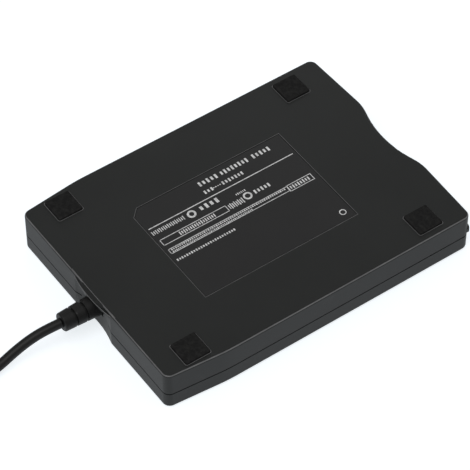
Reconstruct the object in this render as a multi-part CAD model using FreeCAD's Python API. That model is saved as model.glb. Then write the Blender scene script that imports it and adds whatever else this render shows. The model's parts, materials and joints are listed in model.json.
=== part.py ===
import FreeCAD, Part
import math
import os

# External floppy disk drive, lying on its top cover with its underside up.
# Millimetres. +Z points up out of the underside, the disk slot faces -Y and
# the lead leaves at +Y. z = 0 is the top cover's outer face, and x = y = 0 is
# the middle of the housing.

V = FreeCAD.Vector

# Driving dimensions: housing
DEPTH = 142.0
WIDTH = 104.0
HEIGHT = 18.5
WALL = 1.8
PARTING_Z = 7.4
PARTING_GROOVE = 0.5
TONGUE_HEIGHT = 1.3
TONGUE_WALL = 0.85
RIM_RADIUS = 0.9
COVER_EDGE_RADIUS = 1.2
CORNER_RADIUS = 3.2
TAPER_LENGTH = 26.4
REAR_TAPER = 2.5
TAPER_BLEND_RADIUS = 80.0
FRONT_CORNER_SETBACK = 0.7
FRONT_BOW = 0.45
NOTCH_HALF_WIDTH = 22.0
NOTCH_DEPTH = 3.6
NOTCH_RADIUS_SHARE = 0.7

# Driving dimensions: diskette and slot
DISK_WIDTH = 90.0
DISK_DEPTH = 94.0
DISK_THICKNESS = 3.3
DISK_HUB_TO_LEAD_EDGE = 45.0
BAY_SIDE_GAP = 0.2
BAY_HEIGHT = 4.3
BAY_LOW_Z = 4.4
DISK_FRONT_Y = -63.0
HOLDER_STROKE = 1.6
SLOT_SIDE_GAP = 1.3
SLOT_LIP = 0.1
SLOT_HEIGHT = 4.6

# Driving dimensions: sill, hood and lead outlet
SILL_OUT = 0.85
SILL_HEIGHT = 2.0
HOOD_HALF_WIDTH = 12.4
HOOD_OUT = 1.3
HOOD_DROP = 1.3
HOOD_LOW_Z = 15.6
SCALLOP_DEPTH = 2.0
OUTLET_Z = 11.4
OUTLET_RADIUS = 4.2
OUTLET_CLEARANCE = 0.15

# Driving dimensions: feet, label and case screws
FOOT_SIZE = 11.0
FOOT_HEIGHT = 1.2
FOOT_RECESS = 0.4
FOOT_GAP = 0.12
FOOT_SIDE_INSET = 8.9
FOOT_FRONT_INSET = 17.7
FOOT_REAR_INSET = 15.2
LABEL_X = 26.0
LABEL_FRONT_Y = -34.7
LABEL_REAR_Y = 37.0
LABEL_CHAMFER = 3.7
LABEL_THICK = 0.2
LABEL_RECESS = 0.3
LABEL_GAP = 0.25
SCREW_SHANK = 1.2
SCREW_HEAD = 2.6
SCREW_HEAD_HEIGHT = 1.5
SCREW_TIP_Z = 4.5
BOSS_RADIUS = 3.1
BOSS_JOINT_Z = 10.0

# Driving dimensions: sheet metal and mechanism
SHEET = 0.6
CHASSIS_SHEET = 0.8
CHASSIS_HALF_WIDTH = 48.3
CHASSIS_BASE_Z = 13.4
CHASSIS_WALL_Z = 3.0
CHASSIS_FRONT_Y = -55.0
CHASSIS_REAR_Y = 59.0
CHASSIS_WALL_END_Y = 49.0
SLIDER_TRAVEL = 3.5
SLIDER_Z = 11.1
RAIL_GAP = 0.5
LUG_RADIUS = 1.0
LUG_CLEARANCE = 0.1
LUG_Z = 6.5
LUG_YS = (-40.0, 15.0)
BUTTON_INSET = 14.0
BUTTON_WIDTH = 12.0
BUTTON_HEIGHT = 4.0
BUTTON_Z = 13.5
BUTTON_PROUD = 1.2
BUTTON_GAP = 0.2
LAMP_INSET = 14.0
LAMP_WIDTH = 5.0
LAMP_HEIGHT = 2.0
LAMP_Z = 13.4
SPINDLE_TIP_Z = 8.75
ROTOR_RADIUS = 20.0
ROTOR_Z = 11.1
STATOR_TEETH = 12
HEAD_REST_Y = 25.5
HEAD_TRAVEL = 14.8
ARM_PIVOT_BACK = 30.0
ARM_PIVOT_Z = 6.4
ARM_LIFT = 4.2
LEAD_SCREW_X = -20.0
LEAD_SCREW_Z = 11.9
LEAD_SCREW_RADIUS = 1.2
GUIDE_ROD_X = 13.0
GUIDE_ROD_Z = 12.0
GUIDE_ROD_RADIUS = 1.25
BOARD_Z = 14.5
BOARD_THICK = 0.8

# Driving dimensions: lead
CORD_DIAMETER = 4.0
CORD_TURNS = 5
COIL_OUTER_RADIUS = 27.0
COIL_PITCH = 4.5
RELIEF_TIP_Y = 85.3
RELIEF_ROOT_RADIUS = 4.6
RELIEF_TIP_RADIUS = 3.85
PLUG_LENGTH = 27.0
PLUG_WIDTH = 15.4
PLUG_HEIGHT = 8.0
PLUG_SHELL_WIDTH = 12.0
PLUG_SHELL_HEIGHT = 4.5
PLUG_SHELL_LENGTH = 18.8
PLUG_SHELL_WALL = 0.3

# Derived values
HALF_D = DEPTH / 2.0
HALF_W = WIDTH / 2.0
SKIN_Z = HEIGHT - WALL
REAR_HALF_WIDTH = HALF_W - REAR_TAPER
TAPER_START_Y = HALF_D - TAPER_LENGTH
FOOT_X = HALF_W - FOOT_SIDE_INSET
FOOT_FRONT_Y = FOOT_FRONT_INSET - HALF_D
FOOT_REAR_Y = HALF_D - FOOT_REAR_INSET
BUTTON_X = BUTTON_INSET - HALF_W
LAMP_X = HALF_W - LAMP_INSET
SLOT_Z = BAY_LOW_Z - SLOT_LIP
SLOT_HALF = DISK_WIDTH / 2.0 + SLOT_SIDE_GAP + BAY_SIDE_GAP
BAY_HALF = DISK_WIDTH / 2.0 + BAY_SIDE_GAP
HOLDER_HALF = BAY_HALF + SHEET
RAIL_X = HOLDER_HALF + RAIL_GAP
DISK_REAR_Y = DISK_FRONT_Y + DISK_DEPTH
HUB_Y = DISK_REAR_Y - DISK_HUB_TO_LEAD_EDGE
BAY_TOP_Z = BAY_LOW_Z + BAY_HEIGHT
PIVOT_Y = HEAD_REST_Y + ARM_PIVOT_BACK
ARM_ANGLE = math.degrees(math.asin(ARM_LIFT / ARM_PIVOT_BACK))
CORD_RADIUS = CORD_DIAMETER / 2.0


def box(x0, x1, y0, y1, z0, z1):
    return Part.makeBox(x1 - x0, y1 - y0, z1 - z0, V(x0, y0, z0))


def rod(radius, start, end):
    run = V(*end) - V(*start)
    return Part.makeCylinder(radius, run.Length, V(*start), run)


def cone(r0, r1, start, end):
    run = V(*end) - V(*start)
    return Part.makeCone(r0, r1, run.Length, V(*start), run)


def fused(shapes):
    return shapes[0].multiFuse(shapes[1:]).removeSplitter()


def prism(points, z0, z1):
    ring = [V(x, y, z0) for x, y in points]
    face = Part.Face(Part.makePolygon(ring + ring[:1]))
    return face.extrude(V(0, 0, z1 - z0))


def rounded_box(x0, x1, y0, y1, z0, z1, radius, axis="z"):
    body = box(x0, x1, y0, y1, z0, z1)
    names = {"x": 0, "y": 1, "z": 2}
    edges = []
    for edge in body.Edges:
        run = edge.Vertexes[1].Point - edge.Vertexes[0].Point
        if abs(run[names[axis]]) > 0.999 * run.Length:
            edges.append(edge)
    return body.makeFillet(radius, edges)


def outline(z):
    """Housing outline at height z: tapered rear, bowed front with a finger notch."""
    rear, corner = HALF_D, CORNER_RADIUS
    front_corner = -HALF_D + FRONT_CORNER_SETBACK
    flank_y = -HALF_D - FRONT_BOW
    floor_y = flank_y + NOTCH_DEPTH
    half = math.atan2(NOTCH_DEPTH, NOTCH_HALF_WIDTH)
    total = NOTCH_HALF_WIDTH / math.sin(2 * half)
    inner = total * NOTCH_RADIUS_SHARE
    turn_x = inner * math.sin(2 * half)
    turn_y = floor_y - inner * (1 - math.cos(2 * half))
    outer = total - inner
    slope = (HALF_W - REAR_HALF_WIDTH) / (rear - TAPER_START_Y)
    blend = TAPER_BLEND_RADIUS * math.tan(math.atan(slope) / 2)

    def right_side():
        lean = math.atan(slope)
        rise = V(-math.sin(lean), math.cos(lean), 0)
        cut = corner * math.tan((math.pi / 2 - lean) / 2)
        apex = V(REAR_HALF_WIDTH, rear, z)
        top = apex - rise * cut
        mid_corner = V(apex.x - cut, rear - corner, z)
        knee = V(HALF_W, TAPER_START_Y, z)
        low_blend = knee - V(0, blend, 0)
        high_blend = knee + rise * blend
        centre = low_blend - V(TAPER_BLEND_RADIUS, 0, 0)
        middle = centre + V(math.cos(lean / 2), math.sin(lean / 2), 0) * TAPER_BLEND_RADIUS
        diag = math.pi / 4 + lean / 2
        corner_mid = mid_corner + V(math.cos(diag), math.sin(diag), 0) * corner
        return low_blend, middle, high_blend, top, corner_mid, V(apex.x - cut, rear, z)

    low_blend, middle, high_blend, top, corner_mid, rear_end = right_side()
    lean = math.atan2(front_corner - flank_y, HALF_W - NOTCH_HALF_WIDTH)
    cut = corner * math.tan((math.pi / 2 - lean) / 2)
    low = V(HALF_W, front_corner + cut, z)
    run = V(-math.cos(lean), -math.sin(lean), 0)
    front_end = V(HALF_W, front_corner, z) + run * cut
    centre = V(HALF_W - corner, low.y, z)
    diag = -math.pi / 4 + lean / 2
    front_mid = centre + V(math.cos(diag), math.sin(diag), 0) * corner
    flank = V(NOTCH_HALF_WIDTH, flank_y, z)
    outer_centre = V(NOTCH_HALF_WIDTH, flank_y + outer, z)
    outer_mid = outer_centre + V(-math.sin(half), -math.cos(half), 0) * outer
    turn = V(turn_x, turn_y, z)
    floor = V(0, floor_y, z)

    def flip(p):
        return V(-p.x, p.y, p.z)

    right = [
        Part.LineSegment(rear_end, flip(rear_end)),
        Part.Arc(top, corner_mid, rear_end),
        Part.LineSegment(high_blend, top),
        Part.Arc(low_blend, middle, high_blend),
        Part.LineSegment(low, low_blend),
        Part.Arc(front_end, front_mid, low),
        Part.LineSegment(flank, front_end),
        Part.Arc(flank, outer_mid, turn),
        Part.Arc(turn, floor, flip(turn)),
        Part.Arc(flip(flank), flip(outer_mid), flip(turn)),
        Part.LineSegment(flip(flank), flip(front_end)),
        Part.Arc(flip(front_end), flip(front_mid), flip(low)),
        Part.LineSegment(flip(low), flip(low_blend)),
        Part.Arc(flip(low_blend), flip(middle), flip(high_blend)),
        Part.LineSegment(flip(high_blend), flip(top)),
        Part.Arc(flip(top), flip(corner_mid), flip(rear_end)),
    ]
    edges = Part.__sortEdges__([c.toShape() for c in right])
    return Part.Wire(edges)


def slab(inset, z0, z1):
    """A slice of the housing's outline, drawn in by inset."""
    wire = outline(z0)
    if inset:
        wire = wire.makeOffset2D(-inset)
    return Part.Face(wire).extrude(V(0, 0, z1 - z0))


def front_y(x):
    """The outer front face's y at x, on the straight flank."""
    near = NOTCH_HALF_WIDTH
    share = (abs(x) - near) / (HALF_W - near)
    return -HALF_D - FRONT_BOW + share * (FRONT_BOW + FRONT_CORNER_SETBACK)


def edges_at(body, z, low_y=None):
    found = []
    for edge in body.Edges:
        box_ = edge.BoundBox
        if abs(box_.ZMin - z) < 1e-4 and abs(box_.ZMax - z) < 1e-4:
            if low_y is None or box_.YMin < low_y:
                found.append(edge)
    return found


def arc_slab(half_width, y, bulge, z0, z1):
    """A flat segment standing on the line y, with an arc bulging towards +Y."""
    left, right = V(-half_width, y, z0), V(half_width, y, z0)
    arc = Part.Arc(left, V(0, y + bulge, z0), right)
    line = Part.LineSegment(right, left)
    wire = Part.Wire([arc.toShape(), line.toShape()])
    return Part.Face(wire).extrude(V(0, 0, z1 - z0))


def rear_scallop(grow, z0, z1):
    """Shallow scoop in the rear wall around the lead's outlet."""
    left, right = V(-HOOD_HALF_WIDTH - grow, HALF_D, z0), V(HOOD_HALF_WIDTH + grow, HALF_D, z0)
    arc = Part.Arc(left, V(0, HALF_D - SCALLOP_DEPTH - grow, z0), right)
    back = V(0, 3 * WALL, 0)
    lines = [
        Part.LineSegment(right, right + back),
        Part.LineSegment(right + back, left + back),
        Part.LineSegment(left + back, left),
    ]
    wire = Part.Wire([arc.toShape()] + [line.toShape() for line in lines])
    return Part.Face(wire).extrude(V(0, 0, z1 - z0))


def outlet_cut():
    radius = OUTLET_RADIUS
    start = (0, HALF_D - 4 * WALL, OUTLET_Z)
    end = (0, HALF_D + WALL, OUTLET_Z)
    hole = rod(radius, start, end)
    low = PARTING_Z - TONGUE_HEIGHT
    slot = box(-radius, radius, start[1], end[1], low + TONGUE_HEIGHT, OUTLET_Z)
    return hole.fuse(slot)


def slot_cut():
    y0 = -HALF_D - 2 * WALL
    y1 = -HALF_D + NOTCH_DEPTH + 2 * WALL
    return box(-SLOT_HALF, SLOT_HALF, y0, y1, SLOT_Z, SLOT_Z + SLOT_HEIGHT)


def feet_places():
    return [(sx * FOOT_X, y) for y in (FOOT_REAR_Y, FOOT_FRONT_Y) for sx in (1, -1)]


def label_points(inset):
    x, y0, y1 = LABEL_X - inset, LABEL_FRONT_Y + inset, LABEL_REAR_Y - inset
    c = LABEL_CHAMFER
    return [(-x, y0), (x, y0), (x, y1 - c), (x - c, y1), (-x, y1)]


def screw_places():
    return [(FOOT_X, FOOT_REAR_Y), (-FOOT_X, FOOT_REAR_Y)]


def chassis_screw_places():
    return [(44.0, -51.0), (-44.0, -51.0), (33.0, 55.0), (-33.0, 55.0)]


def bottom_case():
    low = PARTING_Z + PARTING_GROOVE
    body = slab(0, low, HEIGHT)
    body = body.makeFillet(RIM_RADIUS, edges_at(body, HEIGHT))
    sill_z = SLOT_Z + SLOT_HEIGHT
    sill = slab(-SILL_OUT, sill_z, sill_z + SILL_HEIGHT)
    sill = sill.makeFillet(SILL_OUT * 0.7, edges_at(sill, sill_z + SILL_HEIGHT, -HALF_D + 6))
    keep = box(-HALF_W + 0.3, HALF_W - 0.3, -HALF_D - 4, -HALF_D + 2.4, low, HEIGHT)
    body = body.fuse(sill.common(keep))
    hood = arc_slab(HOOD_HALF_WIDTH, HALF_D - 1.0, HOOD_OUT + 1.0, HOOD_LOW_Z, HEIGHT - HOOD_DROP)
    crown = hood_crown()
    body = body.multiFuse([hood, crown])
    body = body.cut(slab(WALL, low - 1, SKIN_Z))
    pad = rear_scallop(WALL, low, SKIN_Z + 0.2).common(slab(WALL / 2, low, SKIN_Z + 0.2))
    body = body.fuse(pad)
    rebate = slab(WALL - TONGUE_WALL - 0.1, low - 1, PARTING_Z + TONGUE_HEIGHT)
    body = body.cut(rebate)
    body = body.cut(rear_scallop(0, low - 1, HOOD_LOW_Z))
    bosses = []
    for x, y in screw_places():
        bosses.append(rod(BOSS_RADIUS, (x, y, BOSS_JOINT_Z), (x, y, SKIN_Z + 0.2)))
    for x, y in chassis_screw_places():
        bosses.append(rod(2.4, (x, y, CHASSIS_BASE_Z + CHASSIS_SHEET), (x, y, SKIN_Z + 0.2)))
    for x in (-30.0, -15.0, 15.0, 30.0):
        bosses.append(box(x - 0.5, x + 0.5, CHASSIS_REAR_Y + 2.5, HALF_D - WALL + 0.4, SKIN_Z - 1.2, SKIN_Z + 0.2))
    body = body.multiFuse(bosses)
    cuts = [slot_cut(), outlet_cut()]
    cuts.append(rod(RELIEF_ROOT_RADIUS + OUTLET_CLEARANCE, (0, HALF_D - SCALLOP_DEPTH, OUTLET_Z),
                    (0, HALF_D + 2 * HOOD_OUT, OUTLET_Z)))
    for x, y in feet_places():
        half = FOOT_SIZE / 2 + FOOT_GAP
        cuts.append(rounded_box(x - half, x + half, y - half, y + half, HEIGHT - FOOT_RECESS, HEIGHT + 1, 0.8))
    for x, y in screw_places():
        cuts.append(rod(SCREW_SHANK + 0.2, (x, y, BOSS_JOINT_Z - 1), (x, y, HEIGHT)))
        cuts.append(rod(SCREW_HEAD + 0.15, (x, y, HEIGHT - FOOT_RECESS - SCREW_HEAD_HEIGHT - 0.1), (x, y, HEIGHT)))
    for x, y in chassis_screw_places():
        cuts.append(rod(0.85, (x, y, CHASSIS_BASE_Z), (x, y, SKIN_Z - 0.3)))
    cuts.append(prism(label_points(0), HEIGHT - LABEL_RECESS, HEIGHT + 1))
    cuts.append(button_window())
    cuts.append(lamp_window())
    for cut in cuts:
        body = body.cut(cut)
    return body.removeSplitter()


def hood_crown():
    """The hood's sloping top, from the rim down to its outer edge."""
    y0 = HALF_D - RIM_RADIUS
    low_z = HEIGHT - HOOD_DROP
    lower = Part.Wire([
        Part.Arc(V(-HOOD_HALF_WIDTH, HALF_D, low_z), V(0, HALF_D + HOOD_OUT, low_z),
                 V(HOOD_HALF_WIDTH, HALF_D, low_z)).toShape(),
        Part.LineSegment(V(HOOD_HALF_WIDTH, HALF_D, low_z), V(HOOD_HALF_WIDTH, y0 - 1, low_z)).toShape(),
        Part.LineSegment(V(HOOD_HALF_WIDTH, y0 - 1, low_z), V(-HOOD_HALF_WIDTH, y0 - 1, low_z)).toShape(),
        Part.LineSegment(V(-HOOD_HALF_WIDTH, y0 - 1, low_z), V(-HOOD_HALF_WIDTH, HALF_D, low_z)).toShape(),
    ])
    upper = Part.Wire([
        Part.Arc(V(-HOOD_HALF_WIDTH, y0, HEIGHT), V(0, y0 + 0.5, HEIGHT), V(HOOD_HALF_WIDTH, y0, HEIGHT)).toShape(),
        Part.LineSegment(V(HOOD_HALF_WIDTH, y0, HEIGHT), V(HOOD_HALF_WIDTH, y0 - 1, HEIGHT)).toShape(),
        Part.LineSegment(V(HOOD_HALF_WIDTH, y0 - 1, HEIGHT), V(-HOOD_HALF_WIDTH, y0 - 1, HEIGHT)).toShape(),
        Part.LineSegment(V(-HOOD_HALF_WIDTH, y0 - 1, HEIGHT), V(-HOOD_HALF_WIDTH, y0, HEIGHT)).toShape(),
    ])
    return Part.makeLoft([lower, upper], True, True)


def top_cover():
    body = slab(0, 0, PARTING_Z)
    body = body.makeFillet(COVER_EDGE_RADIUS, edges_at(body, 0))
    tongue_top = PARTING_Z + TONGUE_HEIGHT
    tongue = slab(WALL - TONGUE_WALL, PARTING_Z - 1, tongue_top)
    body = body.fuse(tongue)
    body = body.cut(slab(WALL, WALL, tongue_top + 1))
    pad = rear_scallop(WALL, WALL - 0.2, PARTING_Z).common(slab(WALL / 2, WALL - 0.2, PARTING_Z))
    body = body.fuse(pad)
    body = body.cut(rear_scallop(0, -1, tongue_top + 1))
    bosses = []
    for x, y in screw_places():
        bosses.append(rod(BOSS_RADIUS, (x, y, WALL - 0.2), (x, y, BOSS_JOINT_Z)))
    for sx in (1, -1):
        x0, x1 = sorted((sx * (door_half() + 0.4), sx * (door_half() + 1.8)))
        bosses.append(box(x0, x1, DOOR_Y - 1.6, DOOR_Y + 1.6, WALL - 0.2, DOOR_PIVOT_Z + 1.3))
    for y in (-30.0, 0.0, 30.0):
        for sx in (1, -1):
            x0, x1 = sorted((sx * (CHASSIS_HALF_WIDTH + 0.4), sx * (HALF_W - WALL + 0.4)))
            bosses.append(box(x0, x1, y - 0.5, y + 0.5, WALL - 0.2, PARTING_Z - 1))
    body = body.multiFuse(bosses)
    cuts = [slot_cut(), outlet_cut()]
    for x, y in screw_places():
        cuts.append(rod(SCREW_SHANK + 0.05, (x, y, SCREW_TIP_Z - 1), (x, y, BOSS_JOINT_Z + 1)))
    for sx in (1, -1):
        cuts.append(rod(DOOR_PIN + DOOR_PIN_GAP, (sx * (door_half() - 1), DOOR_Y, DOOR_PIVOT_Z),
                        (sx * (door_half() + 3), DOOR_Y, DOOR_PIVOT_Z)))
    cuts.append(box(-13.0, 13.0, 2.0, 36.0, WALL - 0.5, WALL + 1))
    for cut in cuts:
        body = body.cut(cut)
    return body.removeSplitter()


# Slot door: a flap hung on two pins just inside the slot
DOOR_GAP = 0.4
DOOR_THICK = 1.0
DOOR_PIN = 0.7
DOOR_PIN_GAP = 0.08
DOOR_Y = -HALF_D - FRONT_BOW + NOTCH_DEPTH + WALL + 1.35
DOOR_PIVOT_Z = 3.6
DOOR_LENGTH = SLOT_Z + SLOT_HEIGHT - 0.15 - DOOR_PIVOT_Z


def door_half():
    return SLOT_HALF - DOOR_GAP


def slot_door():
    half = door_half()
    panel = box(-half, half, DOOR_Y - DOOR_THICK / 2, DOOR_Y + DOOR_THICK / 2,
                DOOR_PIVOT_Z, DOOR_PIVOT_Z + DOOR_LENGTH)
    barrel = rod(DOOR_THICK / 2 + 0.2, (-half, DOOR_Y, DOOR_PIVOT_Z), (half, DOOR_Y, DOOR_PIVOT_Z))
    pins = rod(DOOR_PIN, (-half - 1.7, DOOR_Y, DOOR_PIVOT_Z), (half + 1.7, DOOR_Y, DOOR_PIVOT_Z))
    ribs = []
    for x in (-30.0, -10.0, 10.0, 30.0):
        ribs.append(box(x - 0.4, x + 0.4, DOOR_Y + DOOR_THICK / 2 - 0.1, DOOR_Y + DOOR_THICK / 2 + 0.5,
                        DOOR_PIVOT_Z, DOOR_PIVOT_Z + DOOR_LENGTH - 1))
    return fused([panel, barrel, pins] + ribs)


def door_spring():
    """Small torsion spring beside the left pin, with one leg under the cover."""
    x0 = -door_half() - 3.6
    coils = []
    for k in range(3):
        ring = Part.makeTorus(1.15, 0.22, V(x0 + 0.55 * k, DOOR_Y, DOOR_PIVOT_Z), V(1, 0, 0))
        coils.append(ring)
    core = rod(0.9, (x0 - 0.3, DOOR_Y, DOOR_PIVOT_Z), (x0 + 1.4, DOOR_Y, DOOR_PIVOT_Z))
    leg = rod(0.22, (x0 + 0.55, DOOR_Y, DOOR_PIVOT_Z - 1.1), (x0 + 0.55, DOOR_Y + 5, DOOR_PIVOT_Z - 1.4))
    return fused([core, leg] + coils)


def button_window():
    half_w, half_h = BUTTON_WIDTH / 2 + BUTTON_GAP, BUTTON_HEIGHT / 2 + BUTTON_GAP
    return rounded_box(BUTTON_X - half_w, BUTTON_X + half_w, -HALF_D - 3, -HALF_D + 2.4,
                       BUTTON_Z - half_h, BUTTON_Z + half_h, 0.7, "y")


def lamp_window():
    half_w, half_h = LAMP_WIDTH / 2 + 0.1, LAMP_HEIGHT / 2 + 0.1
    return box(LAMP_X - half_w, LAMP_X + half_w, -HALF_D - 3, -HALF_D + 2.4, LAMP_Z - half_h, LAMP_Z + half_h)


def eject_button():
    half_w, half_h = BUTTON_WIDTH / 2, BUTTON_HEIGHT / 2
    y0 = front_y(BUTTON_X) - BUTTON_PROUD
    y_back = -HALF_D + WALL + 1.4 + SLIDER_TRAVEL
    cap = rounded_box(BUTTON_X - half_w, BUTTON_X + half_w, y0, y_back, BUTTON_Z - half_h, BUTTON_Z + half_h, 0.6, "y")
    cap = cap.makeFillet(0.4, [e for e in cap.Edges if abs(e.BoundBox.YMin - y0) < 1e-4 and abs(e.BoundBox.YMax - y0) < 1e-4])
    flange = box(BUTTON_X - half_w - 0.9, BUTTON_X + half_w + 0.9, y_back - 0.8, y_back,
                 SLIDER_Z + SHEET + 0.05, BUTTON_Z + half_h + 0.5)
    stem = box(BUTTON_X - 2, BUTTON_X + 2, y_back - 0.1, CHASSIS_FRONT_Y - 3.2, SLIDER_Z + SHEET, SLIDER_Z + SHEET + 1.4)
    pin = rod(0.8, (BUTTON_X, CHASSIS_FRONT_Y - 5.5, SLIDER_Z + 0.05), (BUTTON_X, CHASSIS_FRONT_Y - 5.5, SLIDER_Z + SHEET + 0.5))
    return fused([cap, flange, stem, pin])


def light_pipe():
    half_w, half_h = LAMP_WIDTH / 2, LAMP_HEIGHT / 2
    y0 = front_y(LAMP_X) - 0.1
    head = box(LAMP_X - half_w, LAMP_X + half_w, y0, -HALF_D + WALL + 0.6, LAMP_Z - half_h, LAMP_Z + half_h)
    flange = box(LAMP_X - half_w - 0.8, LAMP_X + half_w + 0.8, -HALF_D + WALL + 0.45, -HALF_D + WALL + 1.2,
                 LAMP_Z - half_h - 0.6, LAMP_Z + half_h + 0.6)
    pipe = box(LAMP_X - half_w, LAMP_X + half_w, -HALF_D + WALL + 1.1, CHASSIS_FRONT_Y - 6.0, LAMP_Z - 0.7, LAMP_Z + 0.7)
    return fused([head, flange, pipe])


def foot(x, y):
    half = FOOT_SIZE / 2
    z0 = HEIGHT - FOOT_RECESS
    body = rounded_box(x - half, x + half, y - half, y + half, z0, z0 + FOOT_HEIGHT, 0.7)
    return body.makeFillet(0.25, edges_at(body, z0 + FOOT_HEIGHT))


def label_sheet():
    z0 = HEIGHT - LABEL_RECESS
    return prism(label_points(LABEL_GAP), z0, z0 + LABEL_THICK)


def case_screws():
    solids = []
    top = HEIGHT - FOOT_RECESS - 0.1
    for x, y in screw_places():
        head = rod(SCREW_HEAD, (x, y, top - SCREW_HEAD_HEIGHT), (x, y, top))
        shank = rod(SCREW_SHANK, (x, y, SCREW_TIP_Z), (x, y, top - SCREW_HEAD_HEIGHT + 0.2))
        recess = rod(1.1, (x, y, top - 0.9), (x, y, top + 0.1))
        solids.append(head.fuse(shank).cut(recess).removeSplitter())
    return Part.makeCompound(solids)


def chassis_screws():
    solids = []
    for x, y in chassis_screw_places():
        head = rod(1.8, (x, y, CHASSIS_BASE_Z - 0.9), (x, y, CHASSIS_BASE_Z))
        shank = rod(0.8, (x, y, CHASSIS_BASE_Z - 0.2), (x, y, CHASSIS_BASE_Z + 2.4))
        solids.append(head.fuse(shank).removeSplitter())
    return Part.makeCompound(solids)


# Chassis: a pressed tray with two side walls, cut out for the motor
def stadium(x0, x1, y, z, rise, radius):
    """A vertical slot through a wall that is square to X."""
    low = rod(radius, (x0, y, z), (x1, y, z))
    high = rod(radius, (x0, y, z + rise), (x1, y, z + rise))
    middle = box(x0, x1, y - radius, y + radius, z, z + rise)
    return fused([low, high, middle])


def ramp(x0, x1, y, z, run, rise, radius):
    """A slanted slot through a wall that is square to X."""
    length = math.hypot(run, rise)
    low = rod(radius, (x0, y, z), (x1, y, z))
    high = rod(radius, (x0, y + run, z + rise), (x1, y + run, z + rise))
    bar = box(x0, x1, 0, length, -radius, radius)
    bar.rotate(V(0, 0, 0), V(1, 0, 0), math.degrees(math.atan2(rise, run)))
    bar.translate(V(0, y, z))
    return fused([low, high, bar])


def chassis():
    w, t, z = CHASSIS_HALF_WIDTH, CHASSIS_SHEET, CHASSIS_BASE_Z
    base = box(-w, w, CHASSIS_FRONT_Y, CHASSIS_REAR_Y, z, z + t)
    walls = [box(w - t, w, CHASSIS_FRONT_Y, CHASSIS_WALL_END_Y, CHASSIS_WALL_Z, z + t),
             box(-w, -w + t, CHASSIS_FRONT_Y, CHASSIS_WALL_END_Y, CHASSIS_WALL_Z, z + t)]
    motor_x = LEAD_SCREW_X
    tab_front = box(motor_x - 3.5, motor_x + 3.5, 10.6, 10.6 + t, LEAD_SCREW_Z - 2.4, z + 0.2)
    tab_rear = box(motor_x - 6, motor_x + 6, 50.0, 50.0 + t, LEAD_SCREW_Z - 4.6, z + 0.2)
    body = fused([base] + walls + [tab_front, tab_rear])
    cuts = [rod(ROTOR_RADIUS + 1.2, (0, HUB_Y, z - 1), (0, HUB_Y, z + 2))]
    for sx in (1, -1):
        x0, x1 = sorted((sx * 38.8, sx * (w + 1)))
        cuts.append(box(x0, x1, 50.5, CHASSIS_REAR_Y + 1, z - 1, z + 2))
        for y in LUG_YS:
            xa, xb = sorted((sx * (w - 2 * t), sx * (w + t)))
            cuts.append(stadium(xa, xb, y, LUG_Z, HOLDER_STROKE, LUG_RADIUS + LUG_CLEARANCE))
        for y in (-22.0, 34.0):
            xa, xb = sorted((sx * (w - 2 * t), sx * (w + t)))
            cuts.append(box(xa, xb, y - 6, y + 6, 5.5, 10.5))
    cuts.append(box(motor_x - 5.5, motor_x + 5.5, 50.0 + t, CHASSIS_REAR_Y + 1, z - 1, z + 2))
    cuts.append(rod(LEAD_SCREW_RADIUS * 0.6 + 0.08, (motor_x, 9, LEAD_SCREW_Z), (motor_x, 12, LEAD_SCREW_Z)))
    cuts.append(rod(2.2, (motor_x, 49, LEAD_SCREW_Z), (motor_x, 52, LEAD_SCREW_Z)))
    for x, y in chassis_screw_places():
        cuts.append(rod(0.95, (x, y, z - 1), (x, y, z + 2)))
    cuts.append(rounded_box(24.0, 40.0, 20.0, 44.0, z - 1, z + 2, 2.0))
    cuts.append(rounded_box(-42.0, -28.0, 16.0, 44.0, z - 1, z + 2, 2.0))
    for cut in cuts:
        body = body.cut(cut)
    return body.removeSplitter()


def disk_holder():
    half, t = HOLDER_HALF, SHEET
    y0, y1 = DISK_FRONT_Y + 4.2, DISK_REAR_Y + 2.0
    top = BAY_LOW_Z - t
    plate = box(-half, half, y0, y1, top, BAY_LOW_Z)
    parts = [plate]
    for sx in (1, -1):
        xa, xb = sorted((sx * BAY_HALF, sx * half))
        parts.append(box(xa, xb, y0, DISK_REAR_Y, top, BAY_TOP_Z + t))
        xa, xb = sorted((sx * (BAY_HALF - 3.0), sx * half))
        parts.append(box(xa, xb, y0, DISK_REAR_Y, BAY_TOP_Z, BAY_TOP_Z + t))
        for y in LUG_YS:
            xa, xb = sorted((sx * (half - 0.2), sx * (CHASSIS_HALF_WIDTH + 0.5)))
            parts.append(rod(LUG_RADIUS, (xa, y, LUG_Z), (xb, y, LUG_Z)))
        xa, xb = sorted((sx * 11.5, sx * 14.5))
        parts.append(box(xa, xb, y1 - 0.5, PIVOT_Y - 7.5, top, BAY_LOW_Z))
        xa, xb = sorted((sx * 30.0, sx * 40.0))
        parts.append(box(xa, xb, DISK_REAR_Y + 0.4, DISK_REAR_Y + 1.0, top, BAY_TOP_Z - 0.8))
    body = fused(parts)
    window = box(-9.6, 9.6, HUB_Y + 18.0, y1 + 1, top - 1, BAY_LOW_Z + 1)
    body = body.cut(window)
    body = body.cut(lever_track())
    stud = rod(LEVER_STUD, (LEVER_X, LEVER_Y, top - SHEET - 0.5), (LEVER_X, LEVER_Y, top + 0.1))
    return body.fuse(stud).removeSplitter()


# Shutter lever: swings in the holder's curved track as a disk goes in
LEVER_X = -42.0
LEVER_Y = -2.0
LEVER_LENGTH = 30.0
LEVER_START = -10.0
LEVER_SWING = 62.0
LEVER_STUD = 1.2
LEVER_STUD_GAP = 0.08
LEVER_PIN = 1.0


def lever_point(radius, degrees, z):
    a = math.radians(degrees)
    return V(LEVER_X + radius * math.cos(a), LEVER_Y + radius * math.sin(a), z)


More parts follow.
